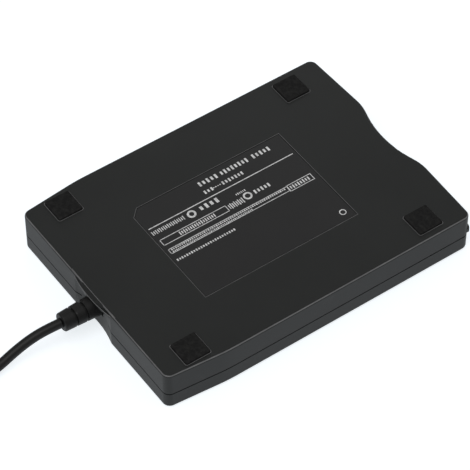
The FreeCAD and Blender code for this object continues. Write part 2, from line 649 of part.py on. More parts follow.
def lever_track():
    z0 = BAY_LOW_Z - SHEET - 1
    rise = V(0, 0, SHEET + 2)
    half = LEVER_PIN + 0.4
    spread = math.degrees(half / LEVER_LENGTH)
    a0, a1 = LEVER_START - spread, LEVER_START + LEVER_SWING + spread
    am = (a0 + a1) / 2
    near, far = LEVER_LENGTH - half, LEVER_LENGTH + half
    wire = Part.Wire([
        Part.Arc(lever_point(far, a0, z0), lever_point(far, am, z0), lever_point(far, a1, z0)).toShape(),
        Part.LineSegment(lever_point(far, a1, z0), lever_point(near, a1, z0)).toShape(),
        Part.Arc(lever_point(near, a1, z0), lever_point(near, am, z0), lever_point(near, a0, z0)).toShape(),
        Part.LineSegment(lever_point(near, a0, z0), lever_point(far, a0, z0)).toShape(),
    ])
    return Part.Face(wire).extrude(rise)


def shutter_lever():
    z1 = BAY_LOW_Z - SHEET - 0.05
    z0 = z1 - SHEET
    start = V(LEVER_X, LEVER_Y, z0)
    end = lever_point(LEVER_LENGTH, LEVER_START, z0)
    along = (end - start)
    along.normalize()
    side = V(-along.y, along.x, 0)
    ring = [start + side * 2.6, end + side * 1.8, end - side * 1.8, start - side * 2.6]
    arm = Part.Face(Part.makePolygon(ring + ring[:1])).extrude(V(0, 0, SHEET))
    hub = Part.makeCylinder(3.2, SHEET, start)
    tip = Part.makeCylinder(1.8, SHEET, end)
    pin = Part.makeCylinder(LEVER_PIN, SHEET + 3.0, end)
    body = fused([arm, hub, tip, pin])
    hole = Part.makeCylinder(LEVER_STUD + LEVER_STUD_GAP, 3, start - V(0, 0, 1))
    return body.cut(hole).removeSplitter()


def lever_spring():
    """Torsion spring lying round the lever's stud, on the cover's side."""
    top = BAY_LOW_Z - SHEET
    z = top - SHEET - 0.05 - 0.45
    ring = Part.makeTorus(2.2, 0.2, V(LEVER_X, LEVER_Y, z), V(0, 0, 1))
    leg = rod(0.2, (LEVER_X - 2.2, LEVER_Y, z), (LEVER_X - 2.2, LEVER_Y + 9, z))
    return fused([ring, leg])


def eject_slider():
    t, z = SHEET, SLIDER_Z
    x1 = RAIL_X + CHASSIS_SHEET
    strip = box(-x1, x1, CHASSIS_FRONT_Y - 1.5, CHASSIS_FRONT_Y + 4.5, z, z + t)
    tab = box(BUTTON_X - 4, BUTTON_X + 4, CHASSIS_FRONT_Y - 8.5, CHASSIS_FRONT_Y - 1.4, z, z + t)
    parts = [strip, tab]
    for sx in (1, -1):
        xa, xb = sorted((sx * RAIL_X, sx * x1))
        parts.append(box(xa, xb, CHASSIS_FRONT_Y - 1.5, LUG_YS[1] + 9, LUG_Z - 1.7, z + t))
        xa, xb = sorted((sx * (RAIL_X - 1.5), sx * x1))
        parts.append(box(xa, xb, CHASSIS_FRONT_Y + 4.4, LUG_YS[1] + 9, z, z + t))
    body = fused(parts)
    for sx in (1, -1):
        xa, xb = sorted((sx * (RAIL_X - 1), sx * (x1 + 1)))
        for y in LUG_YS:
            body = body.cut(ramp(xa, xb, y, LUG_Z, SLIDER_TRAVEL, HOLDER_STROKE, LUG_RADIUS + LUG_CLEARANCE))
        body = body.cut(box(xa, xb, -30.0, 3.0, LUG_Z - 2, z - 2.0))
    body = body.cut(rod(0.9, (BUTTON_X, CHASSIS_FRONT_Y - 5.5, z - 1), (BUTTON_X, CHASSIS_FRONT_Y - 5.5, z + 2)))
    return body.removeSplitter()


def eject_spring(side):
    """Close wound extension spring beside a rail, hooked at both ends."""
    x = side * (RAIL_X - 2.6)
    y0, y1 = LUG_YS[1] + 12.0, LUG_YS[1] + 24.0
    core = rod(0.9, (x, y0, SLIDER_Z + 1.2), (x, y1, SLIDER_Z + 1.2))
    hook = rod(0.25, (x, y0 - 2.0, SLIDER_Z + 1.2), (x, y0, SLIDER_Z + 1.2))
    tail = rod(0.25, (x, y1, SLIDER_Z + 1.2), (x, y1 + 1.5, SLIDER_Z + 1.2))
    rings = []
    for k in range(8):
        rings.append(rod(1.1, (x, y0 + 0.4 + 1.5 * k, SLIDER_Z + 1.2), (x, y0 + 1.1 + 1.5 * k, SLIDER_Z + 1.2)))
    return fused([core, hook, tail] + rings)


# Spindle motor
def spindle_rotor():
    z = ROTOR_Z
    disc = Part.makeCylinder(ROTOR_RADIUS, 0.6, V(0, HUB_Y, z))
    rim = Part.makeCylinder(ROTOR_RADIUS, 2.8, V(0, HUB_Y, z))
    rim = rim.cut(Part.makeCylinder(ROTOR_RADIUS - 0.6, 3, V(0, HUB_Y, z)))
    shaft = Part.makeCylinder(SHAFT_RADIUS, 16.0 - z, V(0, HUB_Y, z))
    holes = []
    for k in range(6):
        a = math.radians(60 * k)
        holes.append(Part.makeCylinder(1.6, 2, V(15.5 * math.cos(a), HUB_Y + 15.5 * math.sin(a), z - 0.5)))
    return fused([disc, rim, shaft]).cut(Part.makeCompound(holes)).removeSplitter()


SHAFT_RADIUS = 1.5
SHAFT_GAP = 0.04
MAGNET_WALL = 1.4
BUSH_RADIUS = 3.6


def spindle_hub():
    seat = Part.makeCylinder(11.5, 1.0, V(0, HUB_Y, ROTOR_Z - 1.0))
    pin = Part.makeCylinder(2.0, ROTOR_Z - 0.5 - SPINDLE_TIP_Z, V(0, HUB_Y, SPINDLE_TIP_Z))
    drive = Part.makeCylinder(0.9, ROTOR_Z - 0.5 - SPINDLE_TIP_Z - 0.2, V(9.3, HUB_Y, SPINDLE_TIP_Z + 0.2))
    return fused([seat, pin, drive])


def rotor_magnet():
    r1 = ROTOR_RADIUS - 0.6
    ring = Part.makeCylinder(r1, 2.0, V(0, HUB_Y, ROTOR_Z + 0.7))
    return ring.cut(Part.makeCylinder(r1 - MAGNET_WALL, 2.2, V(0, HUB_Y, ROTOR_Z + 0.6)))


def stator_core():
    z = ROTOR_Z + 1.5
    r1 = ROTOR_RADIUS - 0.6 - MAGNET_WALL - 0.4
    hub = Part.makeCylinder(7.5, 1.0, V(0, HUB_Y, z))
    teeth = []
    for k in range(STATOR_TEETH):
        arm = box(6.5, r1 - 0.8, -0.8, 0.8, 0, 1.0)
        shoe = box(r1 - 1.2, r1 - 0.2, -3.0, 3.0, 0, 1.0)
        tooth = arm.fuse(shoe)
        tooth.rotate(V(0, 0, 0), V(0, 0, 1), 360.0 / STATOR_TEETH * k)
        tooth.translate(V(0, HUB_Y, z))
        teeth.append(tooth)
    body = fused([hub] + teeth)
    return body.cut(Part.makeCylinder(BUSH_RADIUS, 3, V(0, HUB_Y, z - 1))).removeSplitter()


def stator_coils():
    solids = []
    z = ROTOR_Z + 1.5
    for k in range(STATOR_TEETH):
        coil = box(9.2, 14.8, -1.7, 1.7, -0.6, 1.6).cut(box(9.0, 15.0, -0.82, 0.82, -0.02, 1.02))
        coil.rotate(V(0, 0, 0), V(0, 0, 1), 360.0 / STATOR_TEETH * k)
        coil.translate(V(0, HUB_Y, z))
        solids.append(coil)
    return Part.makeCompound(solids)


def spindle_bearing():
    z0, z1 = ROTOR_Z + 0.8, BOARD_Z + BOARD_THICK + 0.6
    body = Part.makeCylinder(BUSH_RADIUS, z1 - z0, V(0, HUB_Y, z0))
    return body.cut(Part.makeCylinder(SHAFT_RADIUS + SHAFT_GAP, z1 - z0 + 2, V(0, HUB_Y, z0 - 1)))


def motor_board():
    z = BOARD_Z
    points = [(-34, 8), (-34, -47), (32, -47), (34, CHASSIS_FRONT_Y - 6.0), (40.5, CHASSIS_FRONT_Y - 6.0),
              (40.5, -30), (36, -24), (36, 8)]
    body = prism(points, z, z + BOARD_THICK)
    body = body.cut(Part.makeCylinder(BUSH_RADIUS + 0.02, 3, V(0, HUB_Y, z - 1)))
    return body.removeSplitter()


def motor_chips():
    z = BOARD_Z + BOARD_THICK
    lamp = box(LAMP_X - 2.4, LAMP_X + 2.4, CHASSIS_FRONT_Y - 5.6, CHASSIS_FRONT_Y - 2.4, BOARD_Z - 2.0, BOARD_Z)
    solids = [lamp]
    for x, y, w, d in ((-22.0, -36.0, 7.0, 7.0), (20.0, -38.0, 5.0, 4.0), (28.0, -4.0, 4.0, 6.0)):
        solids.append(box(x - w / 2, x + w / 2, y - d / 2, y + d / 2, z, z + 0.9))
    return Part.makeCompound(solids)


def controller_board():
    z = BOARD_Z
    body = box(-45.0, 45.0, 12.0, 49.0, z, z + BOARD_THICK)
    return body.cut(box(-27.0, -13.0, 49.0 - 3.0, 50.0, z - 1, z + 2)).removeSplitter()


def controller_chips():
    z = BOARD_Z + BOARD_THICK
    solids = []
    for x, y, w, d, h in ((-30.0, 28.0, 12.0, 12.0, 1.1), (2.0, 34.0, 10.0, 10.0, 1.1), (26.0, 24.0, 8.0, 6.0, 1.0),
                          (36.0, 40.0, 5.0, 3.2, 1.1), (-6.0, 18.0, 4.0, 3.0, 0.9)):
        solids.append(box(x - w / 2, x + w / 2, y - d / 2, y + d / 2, z, z + h))
    return Part.makeCompound(solids)


USB_BOARD_Z = 9.0
USB_POSTS = ((20.0, 38.5), (36.0, 38.5), (20.0, 50.5))


def usb_board():
    body = box(16.5, 39.0, 36.0, 53.0, USB_BOARD_Z, USB_BOARD_Z + 1.0)
    for x, y in USB_POSTS:
        body = body.cut(rod(0.9, (x, y, USB_BOARD_Z - 1), (x, y, USB_BOARD_Z + 2)))
    return body


def usb_chips():
    z = USB_BOARD_Z
    chip = box(24.0, 31.0, 41.0, 48.0, z - 1.2, z)
    crystal = rounded_box(33.0, 36.0, 42.0, 50.0, z - 2.4, z, 1.2)
    cap = rod(2.0, (33.5, 46.0, z + 1.0), (33.5, 46.0, z + 3.6))
    return Part.makeCompound([chip, crystal, cap])


def board_posts():
    solids = []
    for x, y in USB_POSTS:
        post = rod(1.8, (x, y, USB_BOARD_Z + 1.0), (x, y, CHASSIS_BASE_Z))
        peg = rod(0.8, (x, y, USB_BOARD_Z - 0.6), (x, y, USB_BOARD_Z + 1.2))
        solids.append(fused([post, peg]))
    return Part.makeCompound(solids)


def lead_connector():
    z = USB_BOARD_Z
    shroud = box(22.0, 31.0, 49.5, 53.0, z + 1.0, z + 4.0)
    return shroud.cut(box(22.8, 30.2, 50.5, 54.0, z + 1.6, z + 3.4))


def lead_wires():
    """The lead's four wires, from the strain relief to the connector."""
    solids = []
    radius = 0.45
    for k in range(4):
        x_out = -1.35 + 0.9 * k
        x_in = 23.4 + 1.5 * k
        turn_y = RELIEF_BACK_Y - 1.4 - 1.0 * (3 - k)
        z = OUTLET_Z
        points = [V(x_out, RELIEF_BACK_Y, z), V(x_out, turn_y, z), V(x_in, turn_y, z), V(x_in, 50.6, z)]
        solids.append(tube(points, radius, 0.9))
    return Part.makeCompound(solids)


def route_wire(points, bend=None):
    """Straight runs joined by tangent arcs; returns the wire and its arc radii."""
    edges = []
    radii = []
    start = points[0]
    for k in range(1, len(points) - 1):
        before, at, after = points[k - 1], points[k], points[k + 1]
        run_in, run_out = at - before, after - at
        shorter = min(run_in.Length, run_out.Length)
        into, out = V(run_in), V(run_out)
        into.normalize()
        out.normalize()
        turn = into.getAngle(out)
        reach = 0.45 * shorter
        if bend is not None:
            reach = min(reach, bend * math.tan(turn / 2))
        radii.append(reach / math.tan(turn / 2))
        a, b = at - into * reach, at + out * reach
        chord = b - a
        side = into - chord * (into.dot(chord) / chord.Length ** 2)
        side.normalize()
        middle = (a + b) * 0.5 + side * (chord.Length / 2 * math.tan(turn / 4))
        edges.append(Part.LineSegment(start, a).toShape())
        edges.append(Part.Arc(a, middle, b).toShape())
        start = b
    edges.append(Part.LineSegment(start, points[-1]).toShape())
    return Part.Wire(edges), radii


def swept(wire, start, heading, radius):
    ring = Part.Wire([Part.Circle(start, heading, radius).toShape()])
    shell = Part.BRepOffsetAPI.MakePipeShell(wire)
    shell.add(ring)
    shell.build()
    shell.makeSolid()
    return shell.shape()


def tube(points, radius, bend=None):
    wire, _ = route_wire(points, bend)
    return swept(wire, points[0], points[1] - points[0], radius)


# Head carriage and its drive
def head_carriage():
    z0, z1 = 11.3, 13.1
    y0 = HEAD_REST_Y
    base = box(-9.0, 9.0, y0 - 4.0, PIVOT_Y + 2.0, z0, z1)
    block = box(-8.0, 8.0, DISK_REAR_Y + HEAD_TRAVEL + 1.2, PIVOT_Y + 2.0, ARM_PIVOT_Z + ARM_BARREL + 0.15, z0 + 0.1)
    ears = [box(6.9, 8.0, PIVOT_Y - 2.0, PIVOT_Y + 2.0, ARM_PIVOT_Z - 1.2, ARM_PIVOT_Z + 1.5),
            box(-8.0, -6.9, PIVOT_Y - 2.0, PIVOT_Y + 2.0, ARM_PIVOT_Z - 1.2, ARM_PIVOT_Z + 1.5)]
    nut = box(LEAD_SCREW_X - 2.6, -8.9, 41.0, 46.0, 10.2, z1)
    bush = box(8.9, GUIDE_ROD_X + 2.4, y0 + 4.0, y0 + 16.0, 10.2, z1 + 0.1)
    head_seat = box(-3.4, 3.4, y0 - 3.4, y0 + 3.4, 10.3, z0 + 0.1)
    body = fused([base, block] + ears + [nut, bush, head_seat])
    body = body.cut(rod(LEAD_SCREW_RADIUS + 0.08, (LEAD_SCREW_X, 40, LEAD_SCREW_Z), (LEAD_SCREW_X, 47, LEAD_SCREW_Z)))
    body = body.cut(rod(GUIDE_ROD_RADIUS + 0.06, (GUIDE_ROD_X, y0 + 3, GUIDE_ROD_Z), (GUIDE_ROD_X, y0 + 17, GUIDE_ROD_Z)))
    body = body.cut(rod(ARM_PIN + 0.02, (-9, PIVOT_Y, ARM_PIVOT_Z), (9, PIVOT_Y, ARM_PIVOT_Z)))
    return body.removeSplitter()


ARM_PIN = 0.6
ARM_PIN_GAP = 0.08
ARM_BARREL = 1.15


def pivot_pin():
    return rod(ARM_PIN, (-8.0, PIVOT_Y, ARM_PIVOT_Z), (8.0, PIVOT_Y, ARM_PIVOT_Z))


def lower_head():
    return rounded_box(-2.6, 2.6, HEAD_REST_Y - 2.8, HEAD_REST_Y + 2.8, BAY_TOP_Z + 0.1, 10.3, 0.5)


def raised(shape):
    """Turns a piece of the head arm from its working level up to its rest."""
    shape.rotate(V(0, PIVOT_Y, ARM_PIVOT_Z), V(1, 0, 0), ARM_ANGLE)
    return shape


def head_arm():
    z0, z1 = ARM_PIVOT_Z - 0.3, ARM_PIVOT_Z + 0.3
    plate = prism([(-6.2, PIVOT_Y), (-3.6, HEAD_REST_Y - 2.4), (3.6, HEAD_REST_Y - 2.4), (6.2, PIVOT_Y)], z0, z1)
    barrel = rod(ARM_BARREL, (-6.2, PIVOT_Y, ARM_PIVOT_Z), (6.2, PIVOT_Y, ARM_PIVOT_Z))
    wing_y = PIVOT_Y - 13.0
    parts = [plate, barrel]
    for sx in (1, -1):
        xa, xb = sorted((sx * 4.0, sx * 8.8))
        parts.append(box(xa, xb, wing_y - 1.5, wing_y + 1.5, z0, z1))
        xa, xb = sorted((sx * 8.2, sx * 8.8))
        parts.append(box(xa, xb, wing_y - 1.5, wing_y + 1.5, z0 - 1.5, z1))
        xa, xb = sorted((sx * 8.2, sx * 14.0))
        parts.append(box(xa, xb, wing_y - 1.5, wing_y + 1.5, z0 - 1.5, z0 - 0.9))
    body = fused(parts)
    body = body.cut(rod(ARM_PIN + ARM_PIN_GAP, (-9, PIVOT_Y, ARM_PIVOT_Z), (9, PIVOT_Y, ARM_PIVOT_Z)))
    return raised(body.removeSplitter())


def upper_head():
    z0 = ARM_PIVOT_Z + 0.3
    return raised(rounded_box(-2.2, 2.2, HEAD_REST_Y - 2.2, HEAD_REST_Y + 2.2, z0, ARM_PIVOT_Z + 2.1, 0.5))


def arm_spring():
    """Torsion spring on the pivot pin's free end, beside the arm's barrel."""
    rings = [Part.makeTorus(1.1, 0.2, V(8.5 + 0.45 * k, PIVOT_Y, ARM_PIVOT_Z), V(1, 0, 0)) for k in range(3)]
    core = rod(0.95, (8.25, PIVOT_Y, ARM_PIVOT_Z), (9.6, PIVOT_Y, ARM_PIVOT_Z))
    return fused([core] + rings)


def guide_rod():
    return rod(GUIDE_ROD_RADIUS, (GUIDE_ROD_X, 9.0, GUIDE_ROD_Z), (GUIDE_ROD_X, 47.0, GUIDE_ROD_Z))


def rod_clamps():
    solids = []
    for y in (10.4, 45.4):
        block = box(GUIDE_ROD_X - 3.4, GUIDE_ROD_X + 3.4, y - 1.3, y + 1.3, 10.3, CHASSIS_BASE_Z)
        block = block.cut(rod(GUIDE_ROD_RADIUS + 0.02, (GUIDE_ROD_X, y - 2, GUIDE_ROD_Z), (GUIDE_ROD_X, y + 2, GUIDE_ROD_Z)))
        solids.append(block)
    return Part.makeCompound(solids)


def lead_screw():
    screw = rod(LEAD_SCREW_RADIUS, (LEAD_SCREW_X, 12.0, LEAD_SCREW_Z), (LEAD_SCREW_X, 49.6, LEAD_SCREW_Z))
    journal = rod(LEAD_SCREW_RADIUS * 0.6, (LEAD_SCREW_X, 9.6, LEAD_SCREW_Z), (LEAD_SCREW_X, 51.4, LEAD_SCREW_Z))
    return fused([screw, journal])


def stepper_motor():
    y0 = 50.0 + CHASSIS_SHEET
    can = rod(4.3, (LEAD_SCREW_X, y0, LEAD_SCREW_Z), (LEAD_SCREW_X, y0 + 12.0, LEAD_SCREW_Z))
    band = rod(4.5, (LEAD_SCREW_X, y0 + 5.6, LEAD_SCREW_Z), (LEAD_SCREW_X, y0 + 6.4, LEAD_SCREW_Z))
    cap = rod(2.0, (LEAD_SCREW_X, y0 + 11.8, LEAD_SCREW_Z), (LEAD_SCREW_X, y0 + 12.8, LEAD_SCREW_Z))
    body = fused([can, band, cap])
    return body.cut(rod(1.2, (LEAD_SCREW_X, y0 - 1, LEAD_SCREW_Z), (LEAD_SCREW_X, y0 + 2.0, LEAD_SCREW_Z))).removeSplitter()


def disk_switches():
    solids = []
    for x in (-25.4, 20.5):
        body = box(x - 2.5, x + 2.5, DISK_REAR_Y - 9.0, DISK_REAR_Y - 4.0, 11.0, CHASSIS_BASE_Z)
        tip = rod(0.7, (x, DISK_REAR_Y - 6.5, BAY_TOP_Z + HOLDER_STROKE + 0.1), (x, DISK_REAR_Y - 6.5, 11.1))
        solids.append(fused([body, tip]))
    return Part.makeCompound(solids)


# Strain relief, lead and plug
RELIEF_BACK_Y = HALF_D - SCALLOP_DEPTH - WALL - 1.7
RELIEF_GROOVES = (75.2, 79.7)
RELIEF_GROOVE_WIDTH = 1.0
RELIEF_GROOVE_DEPTH = 0.9


def cord_relief():
    z = OUTLET_Z
    wall_in = HALF_D - SCALLOP_DEPTH - WALL
    flange = rod(5.1, (0, RELIEF_BACK_Y, z), (0, wall_in - 0.1, z))
    neck = rod(OUTLET_RADIUS - OUTLET_CLEARANCE, (0, wall_in - 0.2, z), (0, HALF_D, z))
    slope = (RELIEF_ROOT_RADIUS - RELIEF_TIP_RADIUS) / (RELIEF_TIP_Y - HALF_D)
    grip_y = HALF_D - SCALLOP_DEPTH + 0.6
    grip = cone(RELIEF_ROOT_RADIUS, RELIEF_TIP_RADIUS, (0, grip_y, z), (0, RELIEF_TIP_Y, z))
    grip = grip.makeFillet(0.6, [e for e in grip.Edges if abs(e.BoundBox.YMin - RELIEF_TIP_Y) < 1e-3])
    body = fused([flange, neck, grip])
    for y in RELIEF_GROOVES:
        radius = RELIEF_ROOT_RADIUS - slope * (y - HALF_D)
        ring = rod(radius + 1, (0, y, z), (0, y + RELIEF_GROOVE_WIDTH, z))
        ring = ring.cut(rod(radius - RELIEF_GROOVE_DEPTH, (0, y - 1, z), (0, y + 2 * RELIEF_GROOVE_WIDTH, z)))
        body = body.cut(ring)
    return body.removeSplitter()


CORD_ROUTE = [
    (0.0, 84.4, 11.53), (0.25, 91.5, 10.5), (1.0, 98.2, 7.9), (1.7, 105.2, 4.9), (1.6, 112.6, 2.8),
    (1.1, 120.5, 2.02), (0.8, 128.0, 2.0), (0.8, 134.0, 2.0),
]
COIL_START = V(0.8, 134.0, CORD_RADIUS)
COIL_LAYER = CORD_DIAMETER + 0.45


def coil_edges():
    """Spiral in on the floor, a climbing half turn, and out again above."""
    edges = []
    points = []
    first = COIL_START
    straight = first + V(0, CORD_DIAMETER, 0)
    edges.append(Part.LineSegment(first, straight).toShape())
    points.append(first)
    at = straight
    heading = V(0, 1, 0)
    radius = COIL_OUTER_RADIUS
    halves = CORD_TURNS
    step = COIL_PITCH / 2.0
    inward = []
    for k in range(halves):
        side = V(heading.y, -heading.x, 0)
        centre = at + side * radius
        middle = centre + heading * radius
        end = centre + side * radius
        inward.append((at, middle, end))
        at, heading = end, heading * -1
        radius -= step
    for a, m, b in inward:
        edges.append(Part.Arc(a, m, b).toShape())
    side = V(heading.y, -heading.x, 0)
    centre = at + side * radius
    rise = COIL_LAYER
    reach = math.sqrt(radius ** 2 + (rise / 2) ** 2)
    far = centre + side * radius + V(0, 0, rise)
    join = centre + heading * reach + V(0, 0, rise / 2)
    edges.append(tangent_arc(at, heading, join))
    back = heading * -1
    over = side * (radius / reach) + V(0, 0, rise / 2 / reach)
    edges.append(tangent_arc(join, over, far))
    at, heading = far, back
    for k in range(halves - 1):
        radius += step
        side = V(heading.y, -heading.x, 0)
        centre = at + side * radius
        middle = centre + heading * radius
        end = centre + side * radius
        edges.append(Part.Arc(at, middle, end).toShape())
        at, heading = end, heading * -1
    last = at + heading * CORD_DIAMETER
    edges.append(Part.LineSegment(at, last).toShape())
    return edges, last, heading


def tangent_arc(start, heading, end):
    chord = end - start
    turn = heading.getAngle(chord)
    side = heading - chord * (heading.dot(chord) / chord.Length ** 2)
    side.normalize()
    middle = (start + end) * 0.5 + side * (chord.Length / 2 * math.tan(turn / 2))
    return Part.Arc(start, middle, end).toShape()


def least_self_gap(wire, radius):
    """Smallest gap between parts of the wound tube that aren't neighbours."""
    step = radius
    points = wire.discretize(Distance=step)
    skip = int(4 * radius / step) + 6
    least = 1e9
    for i in range(len(points)):
        for j in range(i + skip, len(points)):
            gap = (points[i] - points[j]).Length
            if gap < least:
                least = gap
    return least - 2 * radius


def plug_frame():
    """Where the coil's tail ends, and the plug's own box along +Y."""
    _, last, heading = coil_edges()
    drop = PLUG_HEIGHT / 2 - last.z
    steps = [(0, 0, 0), (0, 8.0, 0), (1.0, 16.0, 0.15), (2.2, 24.0, drop * 0.5), (3.6, 32.0, drop), (5.0, 39.6, drop)]
    tail = [last + V(*step) for step in steps]
    return tail


def cord_tail():
    tail = plug_frame()
    wire, radii = route_wire(tail)
    return swept(wire, tail[0], tail[1] - tail[0], CORD_RADIUS), wire, radii


def plug_turn():
    tail = plug_frame()
    run = tail[-1] - tail[-2]
    return tail[-1], math.degrees(math.atan2(-run.x, run.y))


def placed_on_plug(shape):
    at, turn = plug_turn()
    shape.rotate(V(0, 0, 0), V(0, 0, 1), turn)
    shape.translate(V(at.x, at.y, PLUG_HEIGHT / 2))
    return shape


def plug_body():
    w, h, length = PLUG_WIDTH / 2, PLUG_HEIGHT / 2, PLUG_LENGTH
    boot = cone(CORD_RADIUS + 0.9, CORD_RADIUS + 1.7, (0, 0, 0), (0, 8.2, 0))
    body = rounded_box(-w, w, 8.0, length, -h, h, 1.2, "y")
    body = body.makeFillet(1.0, [e for e in body.Edges if abs(e.BoundBox.YMin - 8.0) < 1e-3 and abs(e.BoundBox.YMax - 8.0) < 1e-3])
    grips = []
    for k in range(4):
        for sz in (1, -1):
            z0, z1 = sorted((sz * (h - 0.35), sz * (h + 1)))
            grips.append(box(-w + 3, w - 3, 12.5 + 2.4 * k, 13.6 + 2.4 * k, z0, z1))
    seat = box(-PLUG_SHELL_WIDTH / 2, PLUG_SHELL_WIDTH / 2, length - 4, length + 1,
               -PLUG_SHELL_HEIGHT / 2, PLUG_SHELL_HEIGHT / 2)
    body = fused([boot, body]).cut(Part.makeCompound(grips)).cut(seat)
    return placed_on_plug(body.removeSplitter())


def plug_shell():
    w, h = PLUG_SHELL_WIDTH / 2, PLUG_SHELL_HEIGHT / 2
    t = PLUG_SHELL_WALL
    y0, y1 = PLUG_LENGTH - 4, PLUG_LENGTH + PLUG_SHELL_LENGTH - 4
    shell = box(-w, w, y0, y1, -h, h).cut(box(-w + t, w - t, y0 + t, y1 + 1, -h + t, h - t))
    for sx in (1, -1):
        for sz in (1, -1):
            z0, z1 = sorted((sz * (h - 2 * t), sz * (h + t)))
            shell = shell.cut(box(sx * 3.0 - 1.25, sx * 3.0 + 1.25, y1 - 7.6, y1 - 5.1, z0, z1))
    return placed_on_plug(shell.removeSplitter())


def plug_tongue():
    w, h = PLUG_SHELL_WIDTH / 2, PLUG_SHELL_HEIGHT / 2
    t = PLUG_SHELL_WALL
    y0, y1 = PLUG_LENGTH - 4 + t, PLUG_LENGTH + PLUG_SHELL_LENGTH - 4
    root = box(-w + t, w - t, y0, PLUG_LENGTH, -h + t, h - t)
    blade = box(-w + t, w - t, PLUG_LENGTH - 0.2, y1 - 0.4, -h + t, -h + t + 1.9)
    return placed_on_plug(fused([root, blade]))


def plug_contacts():
    h, t = PLUG_SHELL_HEIGHT / 2, PLUG_SHELL_WALL
    y1 = PLUG_LENGTH + PLUG_SHELL_LENGTH - 4
    solids = []
    for x in (-3.5, -1.0, 1.0, 3.5):
        solids.append(placed_on_plug(box(x - 0.5, x + 0.5, PLUG_LENGTH + 1.0, y1 - 1.4, -h + t + 1.9, -h + t + 2.1)))
    return Part.makeCompound(solids)


def check_solid(name, shape):
    if not shape.isValid() or not shape.Solids:
        print("fault: not a valid solid:", name)
    return shape


def main():
    os.makedirs("parts", exist_ok=True)
    route = [V(*p) for p in CORD_ROUTE]
    lead_wire, radii = route_wire(route)
    lead = swept(lead_wire, route[0], route[1] - route[0], CORD_RADIUS)
    edges, _, _ = coil_edges()
    coil_wire = Part.Wire(edges)
    coil = swept(coil_wire, COIL_START, V(0, 1, 0), CORD_RADIUS)
    tail, tail_wire, tail_radii = cord_tail()
    print("lead radii", [round(r, 1) for r in radii], "tail radii", [round(r, 1) for r in tail_radii])
    for name, wire, solid in (("lead", lead_wire, lead), ("coil", coil_wire, coil), ("tail", tail_wire, tail)):
        want = math.pi * CORD_RADIUS ** 2 * wire.Length
        print(name, "length", round(wire.Length, 1), "volume share", round(solid.Volume / want, 5))
    lead = lead.cut(box(-9, 9, RELIEF_TIP_Y - 9, RELIEF_TIP_Y, 0, 2 * OUTLET_Z))
    print("coil least self gap", round(least_self_gap(coil_wire, CORD_RADIUS), 2))
    nodes = {
        "bottom_case": bottom_case(),
        "top_cover": top_cover(),
        "slot_door": slot_door(),
        "door_spring": door_spring(),
        "eject_button": eject_button(),
        "light_pipe": light_pipe(),
        "label_sheet": label_sheet(),
        "case_screws": case_screws(),
        "chassis": chassis(),
        "chassis_screws": chassis_screws(),
        "disk_holder": disk_holder(),
        "shutter_lever": shutter_lever(),
        "lever_spring": lever_spring(),
        "eject_slider": eject_slider(),
        "eject_spring_left": eject_spring(-1),
        "eject_spring_right": eject_spring(1),
        "spindle_rotor": spindle_rotor(),
        "spindle_hub": spindle_hub(),
        "rotor_magnet": rotor_magnet(),
        "stator_core": stator_core(),
        "stator_coils": stator_coils(),
        "spindle_bearing": spindle_bearing(),
        "motor_board": motor_board(),
        "motor_chips": motor_chips(),
        "controller_board": controller_board(),
        "controller_chips": controller_chips(),
        "usb_board": usb_board(),
        "usb_chips": usb_chips(),
        "board_posts": board_posts(),
        "lead_connector": lead_connector(),
        "lead_wires": lead_wires(),
        "head_carriage": head_carriage(),
        "pivot_pin": pivot_pin(),
        "lower_head": lower_head(),
        "head_arm": head_arm(),
        "upper_head": upper_head(),
        "arm_spring": arm_spring(),
        "guide_rod": guide_rod(),
        "rod_clamps": rod_clamps(),
        "lead_screw": lead_screw(),
        "stepper_motor": stepper_motor(),
        "disk_switches": disk_switches(),
        "cord_relief": cord_relief(),
        "cord_lead": lead,
        "cord_coil": coil,
        "cord_tail": tail,
        "plug_body": plug_body(),
        "plug_shell": plug_shell(),
        "plug_tongue": plug_tongue(),
        "plug_contacts": plug_contacts(),
    }
    for k, (x, y) in enumerate(feet_places()):
        nodes["foot_%d" % (k + 1)] = foot(x, y)
    for name, shape in nodes.items():
        check_solid(name, shape)
        shape.exportStep("parts/%s.step" % name)
    print("nodes", len(nodes))


main()
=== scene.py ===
import json
import math

import bmesh
import bpy
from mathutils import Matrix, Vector


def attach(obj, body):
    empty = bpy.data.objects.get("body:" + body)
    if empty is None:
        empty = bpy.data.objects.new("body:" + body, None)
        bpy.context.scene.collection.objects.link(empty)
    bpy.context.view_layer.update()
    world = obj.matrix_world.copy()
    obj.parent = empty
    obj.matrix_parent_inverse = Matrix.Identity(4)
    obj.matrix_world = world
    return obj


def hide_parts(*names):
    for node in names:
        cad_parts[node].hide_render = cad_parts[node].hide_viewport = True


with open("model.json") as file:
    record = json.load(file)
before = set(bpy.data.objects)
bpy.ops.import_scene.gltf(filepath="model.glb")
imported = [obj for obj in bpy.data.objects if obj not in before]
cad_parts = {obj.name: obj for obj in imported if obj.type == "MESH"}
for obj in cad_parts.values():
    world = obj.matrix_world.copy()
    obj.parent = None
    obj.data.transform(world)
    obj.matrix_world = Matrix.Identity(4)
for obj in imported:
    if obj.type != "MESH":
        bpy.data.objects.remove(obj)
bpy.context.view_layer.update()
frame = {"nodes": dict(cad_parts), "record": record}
NODES = frame["nodes"]
MM = 0.001


# Camera at the photograph's viewing angle
CAMERA_AZIMUTH = 234.67
CAMERA_ELEVATION = 49.30
CAMERA_DISTANCE = 1.01405
CAMERA_TARGET = Vector((-0.00061, 0.00543, 0.0090))
CAMERA_LENS = 199.8


